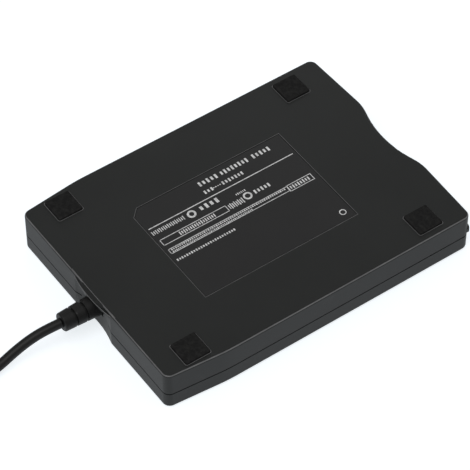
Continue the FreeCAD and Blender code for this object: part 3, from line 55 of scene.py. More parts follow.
def place_camera():
    a, e = math.radians(CAMERA_AZIMUTH), math.radians(CAMERA_ELEVATION)
    back = Vector((math.sin(a) * math.cos(e), -math.cos(a) * math.cos(e), math.sin(e)))
    bpy.ops.object.camera_add(location=CAMERA_TARGET + back * CAMERA_DISTANCE)
    camera = bpy.context.object
    camera.data.lens = CAMERA_LENS
    camera.data.sensor_width = 36.0
    camera.data.clip_start = 0.05
    camera.rotation_mode = "QUATERNION"
    camera.rotation_quaternion = (-back).to_track_quat("-Z", "Y")
    bpy.context.scene.camera = camera


place_camera()
bpy.context.scene.view_settings.view_transform = "Standard"


# Lead: one smooth line out of the relief, round the put-away coil and into the plug
CORD_DIAMETER = 0.004
CORD_ROUTE = [
    (0.0, 85.3, 11.4), (0.9, 91.5, 10.75), (1.75, 98.2, 8.9), (1.95, 105.2, 6.3), (1.3, 112.6, 3.8),
    (0.95, 120.5, 2.3), (0.8, 128.0, 2.0), (0.8, 134.0, 2.0),
]
COIL_START = Vector((0.8, 138.0, 2.0))
COIL_OUTER_RADIUS = 27.0
COIL_PITCH = 4.5
COIL_LAYER = 4.45
COIL_HALVES_IN = 5
COIL_HALVES_OUT = 4
POINTS_PER_HALF = 8
# Tail: gap between the coil's end and its first point, and height of the plug's middle
TAIL_START = 4.0
PLUG_HEIGHT = 4.0


def coil_points():
    """Control points of the coil: half turns inward, one that climbs, half turns outward."""
    swell = 1 / math.cos(math.pi / POINTS_PER_HALF / 2)
    points = []
    at, heading = COIL_START.copy(), Vector((0, 1, 0))
    radius = COIL_OUTER_RADIUS
    plan = [("in", 0.0)] * COIL_HALVES_IN + [("climb", COIL_LAYER)] + [("out", 0.0)] * COIL_HALVES_OUT
    for way, rise in plan:
        if way == "out":
            radius += COIL_PITCH / 2
        side = Vector((heading.y, -heading.x, 0))
        centre = at + side * radius
        for i in range(POINTS_PER_HALF):
            share = (i + 0.5) / POINTS_PER_HALF
            angle = math.pi * share
            offset = (heading * math.sin(angle) - side * math.cos(angle)) * radius * swell
            points.append(centre + offset + Vector((0, 0, rise * share)))
        at = at + side * 2 * radius + Vector((0, 0, rise))
        heading = -heading
        if way == "in":
            radius -= COIL_PITCH / 2
    return points, at, heading


def tail_points(end, heading):
    """Control points from the coil's end down to the plug."""
    at = end + heading * TAIL_START
    drop = PLUG_HEIGHT - at.z
    steps = [
        (0, 0, 0), (0, 8.0, 0), (1.0, 16.0, 0.15), (2.2, 24.0, drop * 0.5), (3.6, 32.0, drop), (5.0, 39.6, drop),
    ]
    return [at + Vector(step) for step in steps]


def make_cord():
    coil, end, heading = coil_points()
    points = [Vector(p) for p in CORD_ROUTE] + coil + tail_points(end, heading)
    curve = bpy.data.curves.new("cord_run", "CURVE")
    curve.dimensions = "3D"
    curve.bevel_depth = 1.0
    curve.bevel_resolution = 7
    curve.resolution_u = 8
    curve.use_fill_caps = True
    spline = curve.splines.new("NURBS")
    spline.points.add(len(points) - 1)
    for point, place in zip(spline.points, points):
        point.co = (place.x * MM, place.y * MM, place.z * MM, 1.0)
        point.radius = CORD_DIAMETER / 2
    spline.order_u = 3
    spline.use_endpoint_u = True
    cord = bpy.data.objects.new("cord_run", curve)
    bpy.context.scene.collection.objects.link(cord)
    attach(cord, "housing")
    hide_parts("cord_lead", "cord_coil", "cord_tail")
    return cord


cord_run = make_cord()


# Shared effects for the materials: noise scales are per metre of the part, depths are in metres
GRAIN_SCALE = 2600.0
GRAIN_DEPTH = 0.00002
GRAIN_IN_TONE = 0.35
DRIFT_SCALE = 35.0
MARKS_SCALE = 240.0
MARKS_RANGE = (0.62, 0.8)
STAIN_SCALE = 60.0
SCRATCH_DEPTH = 0.00001
FIELD_SCALE = 95.0
TRACK_SCALE = 330.0
TRACK_DEPTH = 0.00003
CELL_SCALE = 900.0
CELL_DEPTH = 0.00012
DUST_SCALE = 520.0
INK_WEAR_SCALE = 900.0


def new_group(name, inputs, outputs):
    group = bpy.data.node_groups.new(name, "ShaderNodeTree")
    for label, kind, value in inputs:
        socket = group.interface.new_socket(label, in_out="INPUT", socket_type=kind)
        if value is not None:
            socket.default_value = value
    for label, kind in outputs:
        group.interface.new_socket(label, in_out="OUTPUT", socket_type=kind)
    start = group.nodes.new("NodeGroupInput")
    end = group.nodes.new("NodeGroupOutput")
    return group, start, end


def noise_node(tree, scale, detail=3.0, roughness=0.5):
    node = tree.nodes.new("ShaderNodeTexNoise")
    node.inputs["Scale"].default_value = scale
    node.inputs["Detail"].default_value = detail
    node.inputs["Roughness"].default_value = roughness
    return node


def map_range(tree, source, low, high, to_low, to_high):
    node = tree.nodes.new("ShaderNodeMapRange")
    node.inputs["From Min"].default_value = low
    node.inputs["From Max"].default_value = high
    node.inputs["To Min"].default_value = to_low
    node.inputs["To Max"].default_value = to_high
    tree.links.new(source, node.inputs["Value"])
    return node.outputs["Result"]


def bump_normal(tree, height, depth):
    bump = tree.nodes.new("ShaderNodeBump")
    bump.inputs["Distance"].default_value = depth
    tree.links.new(height, bump.inputs["Height"])
    return bump.outputs["Normal"]


def moulded_grain_group():
    """Spark-eroded mould texture: fine grain, slow tone drift and faint handling marks."""
    group, start, end = new_group(
        "moulded grain",
        [("Grain", "NodeSocketFloat", GRAIN_SCALE), ("Drift", "NodeSocketFloat", DRIFT_SCALE),
         ("Depth", "NodeSocketFloat", GRAIN_DEPTH)],
        [("Tone", "NodeSocketFloat"), ("Wear", "NodeSocketFloat"), ("Normal", "NodeSocketVector")],
    )
    place = group.nodes.new("ShaderNodeTexCoord")
    fine = noise_node(group, GRAIN_SCALE, 2.0)
    slow = noise_node(group, DRIFT_SCALE, 4.0)
    marks = noise_node(group, MARKS_SCALE, 6.0, 0.65)
    for node in (fine, slow, marks):
        group.links.new(place.outputs["Object"], node.inputs["Vector"])
    group.links.new(start.outputs["Grain"], fine.inputs["Scale"])
    group.links.new(start.outputs["Drift"], slow.inputs["Scale"])
    bump = group.nodes.new("ShaderNodeBump")
    bump.inputs["Strength"].default_value = 1.0
    group.links.new(start.outputs["Depth"], bump.inputs["Distance"])
    group.links.new(fine.outputs["Fac"], bump.inputs["Height"])
    blend = group.nodes.new("ShaderNodeMath")
    blend.operation = "MULTIPLY_ADD"
    group.links.new(fine.outputs["Fac"], blend.inputs[0])
    blend.inputs[1].default_value = GRAIN_IN_TONE
    group.links.new(slow.outputs["Fac"], blend.inputs[2])
    group.links.new(blend.outputs["Value"], end.inputs["Tone"])
    group.links.new(map_range(group, marks.outputs["Fac"], *MARKS_RANGE, 0.0, 1.0), end.inputs["Wear"])
    group.links.new(bump.outputs["Normal"], end.inputs["Normal"])
    return group


def brushed_group():
    """Rolled sheet: long fine scratches with a soft tone change across them."""
    group, start, end = new_group(
        "rolled sheet",
        [("Stretch", "NodeSocketVector", None)],
        [("Tone", "NodeSocketFloat"), ("Scratch", "NodeSocketFloat"), ("Normal", "NodeSocketVector")],
    )
    place = group.nodes.new("ShaderNodeTexCoord")
    pull = group.nodes.new("ShaderNodeVectorMath")
    pull.operation = "MULTIPLY"
    group.links.new(place.outputs["Object"], pull.inputs[0])
    group.links.new(start.outputs["Stretch"], pull.inputs[1])
    lines = noise_node(group, 1.0, 3.0)
    spots = noise_node(group, STAIN_SCALE, 4.0)
    group.links.new(pull.outputs["Vector"], lines.inputs["Vector"])
    group.links.new(place.outputs["Object"], spots.inputs["Vector"])
    group.links.new(spots.outputs["Fac"], end.inputs["Tone"])
    group.links.new(lines.outputs["Fac"], end.inputs["Scratch"])
    group.links.new(bump_normal(group, lines.outputs["Fac"], SCRATCH_DEPTH), end.inputs["Normal"])
    return group


MOULDED = moulded_grain_group()
ROLLED = brushed_group()


def new_material(name):
    material = bpy.data.materials.new(name)
    material.use_nodes = True
    tree = material.node_tree
    return material, tree, tree.nodes["Principled BSDF"]


def tone_colours(tree, source, dark, light, low=0.3, high=0.9):
    ramp = tree.nodes.new("ShaderNodeValToRGB")
    ramp.color_ramp.elements[0].position = low
    ramp.color_ramp.elements[0].color = (*dark, 1.0)
    ramp.color_ramp.elements[1].position = high
    ramp.color_ramp.elements[1].color = (*light, 1.0)
    tree.links.new(source, ramp.inputs["Fac"])
    return ramp.outputs["Color"]


def plastic(name, dark, light, rough, grain=GRAIN_SCALE, depth=GRAIN_DEPTH, drift=DRIFT_SCALE, specular=0.5,
            coat=0.0):
    material, tree, shader = new_material(name)
    effect = tree.nodes.new("ShaderNodeGroup")
    effect.node_tree = MOULDED
    effect.inputs["Grain"].default_value = grain
    effect.inputs["Drift"].default_value = drift
    effect.inputs["Depth"].default_value = depth
    tree.links.new(tone_colours(tree, effect.outputs["Tone"], dark, light), shader.inputs["Base Color"])
    tree.links.new(map_range(tree, effect.outputs["Wear"], 0.0, 1.0, rough[1], rough[0]), shader.inputs["Roughness"])
    tree.links.new(effect.outputs["Normal"], shader.inputs["Normal"])
    shader.inputs["Specular IOR Level"].default_value = specular
    shader.inputs["Coat Weight"].default_value = coat
    return material


def metal(name, dark, light, rough=(0.28, 0.42), stretch=(60.0, 2400.0, 2400.0)):
    material, tree, shader = new_material(name)
    effect = tree.nodes.new("ShaderNodeGroup")
    effect.node_tree = ROLLED
    effect.inputs["Stretch"].default_value = stretch
    tree.links.new(tone_colours(tree, effect.outputs["Tone"], dark, light), shader.inputs["Base Color"])
    tree.links.new(map_range(tree, effect.outputs["Scratch"], 0.2, 0.8, rough[0], rough[1]), shader.inputs["Roughness"])
    tree.links.new(effect.outputs["Normal"], shader.inputs["Normal"])
    shader.inputs["Metallic"].default_value = 1.0
    return material


def circuit_board(name):
    """Green mask over copper tracks: fields of parallel tracks that run one way or the other, and plain ground."""
    material, tree, shader = new_material(name)
    place = tree.nodes.new("ShaderNodeTexCoord")
    fields = tree.nodes.new("ShaderNodeTexVoronoi")
    fields.distance = "CHEBYCHEV"
    fields.inputs["Scale"].default_value = FIELD_SCALE
    tree.links.new(place.outputs["Object"], fields.inputs["Vector"])
    share = tree.nodes.new("ShaderNodeSeparateColor")
    tree.links.new(fields.outputs["Color"], share.inputs["Color"])
    runs = []
    for direction in ("X", "Y"):
        tracks = tree.nodes.new("ShaderNodeTexWave")
        tracks.bands_direction = direction
        tracks.inputs["Scale"].default_value = TRACK_SCALE
        tree.links.new(place.outputs["Object"], tracks.inputs["Vector"])
        runs.append(tracks.outputs["Fac"])
    way = map_range(tree, share.outputs["Red"], 0.48, 0.52, 0.0, 1.0)
    pick = tree.nodes.new("ShaderNodeMix")
    tree.links.new(way, pick.inputs["Factor"])
    tree.links.new(runs[0], pick.inputs["A"])
    tree.links.new(runs[1], pick.inputs["B"])
    ground = map_range(tree, share.outputs["Green"], 0.40, 0.44, 0.0, 1.0)
    raised = tree.nodes.new("ShaderNodeMath")
    raised.operation = "MULTIPLY"
    tree.links.new(pick.outputs["Result"], raised.inputs[0])
    tree.links.new(ground, raised.inputs[1])
    colour = tone_colours(tree, raised.outputs["Value"], (0.006, 0.070, 0.028), (0.018, 0.125, 0.050), 0.55, 0.68)
    tree.links.new(colour, shader.inputs["Base Color"])
    tree.links.new(map_range(tree, raised.outputs["Value"], 0.5, 0.7, 0.42, 0.30), shader.inputs["Roughness"])
    tree.links.new(bump_normal(tree, raised.outputs["Value"], TRACK_DEPTH), shader.inputs["Normal"])
    return material


def rubber_pad(name):
    """Foot rubber: matt, cellular and dusty, with pale specks in its pores."""
    material, tree, shader = new_material(name)
    place = tree.nodes.new("ShaderNodeTexCoord")
    cells = tree.nodes.new("ShaderNodeTexVoronoi")
    cells.inputs["Scale"].default_value = CELL_SCALE
    dust = noise_node(tree, DUST_SCALE, 6.0, 0.7)
    for node in (cells, dust):
        tree.links.new(place.outputs["Object"], node.inputs["Vector"])
    tree.links.new(tone_colours(tree, dust.outputs["Fac"], (0.003, 0.003, 0.003), (0.022, 0.022, 0.021), 0.42, 0.74),
                   shader.inputs["Base Color"])
    tree.links.new(map_range(tree, dust.outputs["Fac"], 0.3, 0.8, 0.75, 0.95), shader.inputs["Roughness"])
    tree.links.new(bump_normal(tree, cells.outputs["Distance"], CELL_DEPTH), shader.inputs["Normal"])
    shader.inputs["Specular IOR Level"].default_value = 0.25
    return material


MATERIALS = {
    # Pale case edge colour: a painted highlight for the rounded rim and the edges of the recesses and the hood
    "painted_edge_highlight": plastic("case edge painted highlight", (0.085, 0.085, 0.088), (0.17, 0.17, 0.17), (0.3, 0.42), 900.0, drift=160.0),
    "case_plastic": plastic("case plastic", (0.0070, 0.0080, 0.0075), (0.0110, 0.0122, 0.0116), (0.40, 0.50),
                            specular=0.35),
    "relief_plastic": plastic("relief plastic", (0.004, 0.004, 0.004), (0.008, 0.008, 0.008), (0.38, 0.48), 900.0,
                              0.00001, specular=0.3),
    "cord_jacket": plastic("cord jacket", (0.004, 0.004, 0.004), (0.008, 0.008, 0.008), (0.36, 0.46), 700.0,
                           0.00002, specular=0.3),
    "foot_rubber": rubber_pad("foot rubber"),
    "label_film": plastic("label film", (0.0095, 0.0095, 0.0097), (0.0135, 0.0135, 0.0138), (0.36, 0.44), 3200.0,
                          0.000008, specular=0.35),
    "button_plastic": plastic("button plastic", (0.016, 0.016, 0.017), (0.026, 0.026, 0.027), (0.35, 0.45)),
    "lens_plastic": plastic("lamp lens", (0.20, 0.26, 0.16), (0.32, 0.40, 0.26), (0.15, 0.25), 500.0, 0.00001,
                            coat=0.4),
    "door_plastic": plastic("door plastic", (0.012, 0.012, 0.013), (0.02, 0.02, 0.021), (0.38, 0.5)),
    "screw_steel": metal("screw steel", (0.16, 0.16, 0.17), (0.26, 0.26, 0.27), (0.3, 0.45)),
    "pressed_steel": metal("pressed steel", (0.50, 0.51, 0.53), (0.66, 0.67, 0.68)),
    "spring_steel": metal("spring steel", (0.42, 0.42, 0.43), (0.58, 0.58, 0.59), (0.2, 0.3),
                          (900.0, 900.0, 900.0)),
    "shaft_steel": metal("shaft steel", (0.62, 0.62, 0.63), (0.75, 0.75, 0.76), (0.12, 0.2),
                         (2400.0, 90.0, 2400.0)),
    "rotor_steel": metal("rotor steel", (0.45, 0.46, 0.47), (0.62, 0.63, 0.64), (0.25, 0.38),
                         (500.0, 500.0, 500.0)),
    "magnet": plastic("bonded magnet", (0.035, 0.033, 0.032), (0.06, 0.057, 0.055), (0.5, 0.65), 1500.0),
    "bronze": metal("sintered bronze", (0.35, 0.22, 0.11), (0.52, 0.36, 0.20), (0.4, 0.55),
                    (1200.0, 1200.0, 1200.0)),
    "copper_wire": metal("enamelled copper", (0.42, 0.14, 0.05), (0.66, 0.27, 0.11), (0.2, 0.3),
                         (400.0, 400.0, 5200.0)),
    "board": circuit_board("circuit board"),
    "chip": plastic("chip epoxy", (0.012, 0.012, 0.013), (0.022, 0.022, 0.023), (0.45, 0.6), 3000.0),
    "connector_plastic": plastic("natural nylon", (0.58, 0.55, 0.47), (0.70, 0.67, 0.59), (0.4, 0.5), 800.0),
    "wire_jacket": plastic("wire jacket", (0.42, 0.05, 0.04), (0.55, 0.09, 0.06), (0.35, 0.45), 600.0),
    "carriage_plastic": plastic("filled carriage plastic", (0.03, 0.03, 0.033), (0.055, 0.055, 0.06), (0.45, 0.6),
                                1400.0),
    "head_ceramic": plastic("head ceramic", (0.5, 0.48, 0.44), (0.62, 0.6, 0.56), (0.12, 0.2), 300.0, 0.000004,
                            coat=0.3),
    "plug_shell_metal": metal("plug shell", (0.58, 0.58, 0.58), (0.72, 0.72, 0.72), (0.2, 0.32),
                              (2200.0, 90.0, 2200.0)),
    "plug_insert": plastic("plug insert", (0.62, 0.62, 0.62), (0.74, 0.74, 0.74), (0.3, 0.4), 700.0),
    "contact_gold": metal("contact gold", (0.65, 0.45, 0.14), (0.85, 0.64, 0.26), (0.18, 0.28)),
}


def dress(piece, slot):
    piece.data.materials.clear()
    piece.data.materials.append(MATERIALS[slot])


SLOT_OF = {entry["node"]: entry["material_slot"] for entry in frame["record"]["subparts"]}
for node, slot in SLOT_OF.items():
    dress(NODES[node], slot)
dress(cord_run, "cord_jacket")


# Pieces: helpers
MERGE_DISTANCE = 0.000002
FLAT_ANGLE = 0.2
SMOOTH_ANGLE = 30.0
THREAD_SMOOTH_ANGLE = 25.0
BEVEL_ANGLE = 40.0


def deselect():
    bpy.ops.object.select_all(action="DESELECT")


def only(piece):
    deselect()
    piece.select_set(True)
    bpy.context.view_layer.objects.active = piece


def apply_place():
    """Applies the place, turn and scale of what is selected."""
    bpy.ops.object.transform_apply(location=True, rotation=True, scale=True)


def apply_modifiers(piece):
    only(piece)
    for modifier in list(piece.modifiers):
        bpy.ops.object.modifier_apply(modifier=modifier.name)


def settle(piece, name, slot, body, replaced=()):
    """Applies a new piece's place and names what it is, what it stands for and what carries it."""
    apply_modifiers(piece)
    apply_place()
    piece.name = name
    piece.data.name = name
    dress(piece, slot)
    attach(piece, body)
    if replaced:
        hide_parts(*replaced)
    return piece


def clean_copy(node, name, slot, body):
    """A merged copy of a CAD node's mesh, with its curved faces shaded smooth."""
    mesh = NODES[node].data.copy()
    piece = bpy.data.objects.new(name, mesh)
    bpy.context.scene.collection.objects.link(piece)
    shape = bmesh.new()
    shape.from_mesh(mesh)
    bmesh.ops.remove_doubles(shape, verts=shape.verts, dist=MERGE_DISTANCE)
    bmesh.ops.dissolve_limit(shape, angle_limit=math.radians(FLAT_ANGLE), verts=shape.verts, edges=shape.edges)
    shape.to_mesh(mesh)
    shape.free()
    only(piece)
    bpy.ops.object.shade_smooth_by_angle(angle=math.radians(SMOOTH_ANGLE))
    weighted = piece.modifiers.new("weighted normals", "WEIGHTED_NORMAL")
    weighted.mode = "FACE_AREA"
    weighted.weight = 100
    weighted.keep_sharp = True
    return settle(piece, name, slot, body, (node,))


def join(pieces):
    deselect()
    for piece in pieces:
        piece.select_set(True)
    bpy.context.view_layer.objects.active = pieces[0]
    bpy.ops.object.join()
    return bpy.context.object


def bar(x0, x1, y0, y1, z0, z1):
    """A block from corner to corner, in millimetres."""
    centre = ((x0 + x1) / 2 * MM, (y0 + y1) / 2 * MM, (z0 + z1) / 2 * MM)
    bpy.ops.mesh.primitive_cube_add(size=1.0, location=centre)
    piece = bpy.context.object
    piece.scale = ((x1 - x0) * MM, (y1 - y0) * MM, (z1 - z0) * MM)
    apply_place()
    return piece


def bevel(piece, width, segments=2):
    modifier = piece.modifiers.new("rounding", "BEVEL")
    modifier.width = width * MM
    modifier.segments = segments
    modifier.limit_method = "ANGLE"
    modifier.angle_limit = math.radians(BEVEL_ANGLE)


def repeat(piece, count, step):
    """Adds a row of copies, each one step in millimetres from the last."""
    row = piece.modifiers.new("row", "ARRAY")
    row.count = count
    row.use_relative_offset = False
    row.use_constant_offset = True
    row.constant_offset_displace = [part * MM for part in step]


def extrude(step):
    """In edit mode, extrudes what is selected by a step in millimetres."""
    bpy.ops.mesh.extrude_region_move(TRANSFORM_OT_translate={"value": tuple(MM * part for part in step)})


def end_edit():
    """Ends edit mode with every face turned outward."""
    bpy.ops.mesh.select_all(action="SELECT")
    bpy.ops.mesh.normals_make_consistent(inside=False)
    bpy.ops.object.mode_set(mode="OBJECT")


# Copies of the CAD nodes, merged and shaded smooth
BODY_OF = {node: body for body, nodes in frame["record"]["behaviour"]["bodies"].items() for node in nodes}
SHELL_NODES = (
    "bottom_case", "top_cover", "cord_relief", "foot_1", "foot_2", "foot_3", "foot_4", "eject_button", "slot_door",
)
ROUND_NODES = (
    "door_spring", "case_screws", "chassis", "disk_holder", "shutter_lever", "lever_spring", "eject_slider",
    "eject_spring_left", "eject_spring_right", "spindle_rotor", "spindle_hub", "rotor_magnet", "stator_core",
    "spindle_bearing", "usb_chips", "board_posts", "head_carriage", "pivot_pin", "lower_head", "upper_head",
    "head_arm", "arm_spring", "guide_rod", "rod_clamps", "stepper_motor", "disk_switches",
)
copies = {node: clean_copy(node, node + "_shell", SLOT_OF[node], BODY_OF[node]) for node in SHELL_NODES}
copies.update({node: clean_copy(node, node + "_smooth", SLOT_OF[node], BODY_OF[node]) for node in ROUND_NODES})


# Rim of the case: the middle facets of its rounded edge are painted paler, a painted highlight along the rim
RIM_LOW_Z = 0.0170
RIM_SLOPE = (0.57, 0.9)
RIM_FACET_WIDTH = 0.00025
HOOD_CLEAR = (0.0150, 0.0695)


def paint_rim_highlight(piece):
    mesh = piece.data
    mesh.materials.append(MATERIALS["painted_edge_highlight"])
    for face in mesh.polygons:
        ends = [(mesh.vertices[a].co, mesh.vertices[b].co) for a, b in face.edge_keys]
        longest = max((a - b).length for a, b in ends)
        on_hood = abs(face.center.x) < HOOD_CLEAR[0] and face.center.y > HOOD_CLEAR[1]
        if (face.center.z > RIM_LOW_Z and RIM_SLOPE[0] < face.normal.z < RIM_SLOPE[1] and not on_hood
                and face.area < longest * RIM_FACET_WIDTH):
            # these facets take the paler colour, a painted highlight
            face.material_index = 1


paint_rim_highlight(copies["bottom_case"])


# Edges of the recesses for the feet and the label, and the hood's brow: thin raised lines in the pale edge colour,
# painted highlights
CASE_TOP = 18.5
EDGE_LINE = 0.02
FOOT_PLACES = [(43.1, 55.8), (-43.1, 55.8), (43.1, -53.3), (-43.1, -53.3)]
FOOT_RECESS_HALF = 5.62
LABEL_RECESS = (-26.0, 26.0, -34.7, 37.0)
# Frames: width of the line, size of the corners and their segments
FOOT_FRAME = (0.24, 1.0, 3)
LABEL_FRAME = (0.16, 3.8, 1)
# Hood lines: half width, y at the ends, y in the middle, height and thickness of the line
HOOD_BROW = (12.4, 71.0, 72.3, 17.2, 0.14)
HOOD_CREST = (14.8, 70.35, 70.6, 18.42, 0.12)
HOOD_LINE_SIDES = 10
HOOD_LINE_STEPS = 24


def pick_vertices(piece, wanted):
    """In edit mode, selects the vertices for which wanted(place) is true."""
    mesh = bmesh.from_edit_mesh(piece.data)
    for vertex in mesh.verts:
        vertex.select = wanted(vertex.co)
    mesh.select_flush_mode()
    bmesh.update_edit_mesh(piece.data)


def edge_frame(x0, x1, y0, y1, width, corner, segments, wanted):
    """A thin frame on the case round a recess of the given size, with its picked corners cut or rounded: a painted
    highlight line.
    """
    x0, x1, y0, y1 = x0 - width, x1 + width, y0 - width, y1 + width
    bpy.ops.mesh.primitive_plane_add(size=1.0, location=((x0 + x1) / 2 * MM, (y0 + y1) / 2 * MM, CASE_TOP * MM))
    piece = bpy.context.object
    piece.scale = ((x1 - x0) * MM, (y1 - y0) * MM, 1.0)
    apply_place()
    bpy.ops.object.mode_set(mode="EDIT")
    bpy.ops.mesh.select_mode(type="VERT")
    pick_vertices(piece, wanted)
    bpy.ops.mesh.bevel(offset=corner * MM, segments=segments, affect="VERTICES")
    bpy.ops.mesh.select_all(action="SELECT")
    bpy.ops.mesh.inset(thickness=width * MM, depth=0.0)
    bpy.ops.mesh.delete(type="FACE")
    bpy.ops.mesh.select_all(action="SELECT")
    extrude((0, 0, EDGE_LINE))
    end_edit()
    return piece


def bowed_line(half, y_end, y_middle, z, thick):
    """A fine round line spun along the hood's bow, from one end to the other: a painted highlight line."""
    bow = y_middle - y_end
    radius = (half ** 2 + bow ** 2) / (2 * bow)
    half_angle = math.asin(half / radius)
    bpy.ops.mesh.primitive_circle_add(
        vertices=HOOD_LINE_SIDES, radius=thick * MM, location=(-half * MM, y_end * MM, z * MM),
        rotation=(math.pi / 2, 0, math.pi / 2 + half_angle))
    piece = bpy.context.object
    apply_place()
    bpy.ops.object.mode_set(mode="EDIT")
    bpy.ops.mesh.select_all(action="SELECT")
    bpy.ops.mesh.spin(
        steps=HOOD_LINE_STEPS, angle=2 * half_angle, center=(0, (y_middle - radius) * MM, z * MM), axis=(0, 0, 1))
    bpy.ops.mesh.select_all(action="SELECT")
    bpy.ops.mesh.fill_holes(sides=0)
    end_edit()
    return piece


def make_highlight_lines():
    deselect()
    half = FOOT_RECESS_HALF
    lines = [edge_frame(x - half, x + half, y - half, y + half, *FOOT_FRAME, lambda place: True)
             for x, y in FOOT_PLACES]
    lines.append(edge_frame(*LABEL_RECESS, *LABEL_FRAME, lambda place: place.x > 0 and place.y > 0))
    lines += [bowed_line(*HOOD_BROW), bowed_line(*HOOD_CREST)]
    settle(join(lines), "painted_highlight_lines", "painted_edge_highlight", "housing")


make_highlight_lines()


# Lead screw: rolled thread between plain journals
SCREW_AXIS = (-20.0, 11.9)
SCREW_ENDS = (12.0, 49.6)
JOURNAL_ENDS = (9.6, 51.4)
SCREW_PITCH = 3.0
SCREW_RADIUS = 1.2
SCREW_SIDES = 24
THREAD_TURNS = 15
JOURNAL_RADIUS = 0.72
JOURNAL_BEVEL = 0.1
THREAD_STEPS = [(0, 1.2, 0), (-0.3, 0.35, 0), (0, 1.1, 0), (0.3, 0.35, 0)]


def trim(piece, y, outer):
    """Cuts the piece square across at y and closes the cut."""
    only(piece)
    bpy.ops.object.mode_set(mode="EDIT")
    bpy.ops.mesh.select_all(action="SELECT")
    bpy.ops.mesh.bisect(plane_co=(0, y * MM, 0), plane_no=(0, 1, 0), use_fill=True, clear_outer=outer,
                        clear_inner=not outer)
    bpy.ops.object.mode_set(mode="OBJECT")


def make_lead_screw():
    """A point drawn out into one pitch of the thread's profile, screwed along the axis and cut to length."""
    deselect()
    x, z = SCREW_AXIS
    start = SCREW_ENDS[0] - SCREW_PITCH
    bpy.ops.mesh.primitive_plane_add(size=0.5 * MM, location=(x * MM, start * MM, z * MM))
    thread = bpy.context.object
    bpy.ops.object.mode_set(mode="EDIT")
    bpy.ops.mesh.select_all(action="SELECT")
    bpy.ops.mesh.merge(type="CENTER")
    bpy.ops.transform.translate(value=(SCREW_RADIUS * MM, 0, 0))
    for step in THREAD_STEPS:
        extrude(step)
    bpy.ops.object.mode_set(mode="OBJECT")
    turn = thread.modifiers.new("thread", "SCREW")
    turn.axis = "Y"
    turn.screw_offset = SCREW_PITCH * MM
    turn.iterations = THREAD_TURNS
    turn.steps = turn.render_steps = SCREW_SIDES
    turn.use_merge_vertices = True
    turn.merge_threshold = 0.00001
    apply_modifiers(thread)
    apply_place()
    trim(thread, SCREW_ENDS[0], False)
    trim(thread, SCREW_ENDS[1], True)
    bpy.ops.object.mode_set(mode="EDIT")
    end_edit()
    pieces = [thread]
    for y0, y1 in ((JOURNAL_ENDS[0], SCREW_ENDS[0]), (SCREW_ENDS[1], JOURNAL_ENDS[1])):
        bpy.ops.mesh.primitive_cylinder_add(
            vertices=SCREW_SIDES, radius=JOURNAL_RADIUS * MM, depth=(y1 - y0) * MM,
            location=(x * MM, (y0 + y1) / 2 * MM, z * MM), rotation=(math.pi / 2, 0, 0))
        journal = bpy.context.object
        bevel(journal, JOURNAL_BEVEL, 1)
        apply_modifiers(journal)
        apply_place()
        pieces.append(journal)
    settle(join(pieces), "lead_screw_thread", "shaft_steel", "screw", ("lead_screw",))
    bpy.ops.object.shade_smooth_by_angle(angle=math.radians(THREAD_SMOOTH_ANGLE))


make_lead_screw()


# Chassis screws: a cross recess in every head
CHASSIS_SCREWS = [(44.0, -51.0), (-44.0, -51.0), (33.0, 55.0), (-33.0, 55.0)]
HEAD_FACE = 12.5
# Arms of the cross: half length along x and along y, and depth
RECESS_ARMS = [(1.05, 0.2, 0.55), (0.2, 1.05, 0.5)]
CUTTER_CLEAR = 0.1


def make_chassis_screws():
    screws = clean_copy("chassis_screws", "chassis_screws_smooth", "screw_steel", "housing")
    cutters = []
    for x, y in CHASSIS_SCREWS:
        for half_x, half_y, depth in RECESS_ARMS:
            heights = (HEAD_FACE - CUTTER_CLEAR, HEAD_FACE + depth)
            cutters.append(bar(x - half_x, x + half_x, y - half_y, y + half_y, *heights))
    for cutter in cutters:
        cut = screws.modifiers.new("recess", "BOOLEAN")
        cut.operation = "DIFFERENCE"
        cut.solver = "EXACT"
        cut.object = cutter
        apply_modifiers(screws)
    deselect()
    for cutter in cutters:
        cutter.select_set(True)
    bpy.ops.object.delete()
    only(screws)
    bpy.ops.object.shade_smooth_by_angle(angle=math.radians(SMOOTH_ANGLE))


make_chassis_screws()


# Chip legs: bent tin-plated strips down to the board
BOARD_TOP = 15.3
USB_BOARD_LOW = 9.0
# Chips: middle, size, board face, pitch of the legs, sides with legs, way up
CHIPS = [
    (-30.0, 28.0, 12.0, 12.0, BOARD_TOP, 0.8, 4, 1), (2.0, 34.0, 10.0, 10.0, BOARD_TOP, 0.8, 4, 1),
    (26.0, 24.0, 8.0, 6.0, BOARD_TOP, 0.9, 2, 1), (-22.0, -36.0, 7.0, 7.0, BOARD_TOP, 0.8, 4, 1),
    (20.0, -38.0, 5.0, 4.0, BOARD_TOP, 0.9, 2, 1), (28.0, -4.0, 4.0, 6.0, BOARD_TOP, 0.9, 2, 1),
    (27.5, 44.5, 7.0, 7.0, USB_BOARD_LOW, 0.8, 4, -1),
]
# Legs: half length of the stub, half width, heights over the board, and the part of a side without legs
LEG_STUB = 0.05
LEG_HALF_WIDTH = 0.16
LEG_HEIGHTS = (0.42, 0.54)
LEG_MARGIN = 0.9
LEG_STEPS = [(0.2, 0, 0), (0.15, 0, -0.36), (0.4, 0, 0)]


def leg_row(half, span, pitch):
    """One side's legs, drawn beside the origin: a stub, then extruded out, down and out."""
    count = int((span - LEG_MARGIN) / pitch) + 1
    first = -(count - 1) * pitch / 2
    leg = bar(half - LEG_STUB, half + LEG_STUB, first - LEG_HALF_WIDTH, first + LEG_HALF_WIDTH, *LEG_HEIGHTS)
    bpy.ops.object.mode_set(mode="EDIT")
    bpy.ops.mesh.select_mode(type="VERT")
    pick_vertices(leg, lambda place: place.x > half * MM)
    for step in LEG_STEPS:
        extrude(step)
    bpy.ops.object.mode_set(mode="OBJECT")
    repeat(leg, count, (0.0, pitch, 0.0))
    apply_modifiers(leg)
    return leg


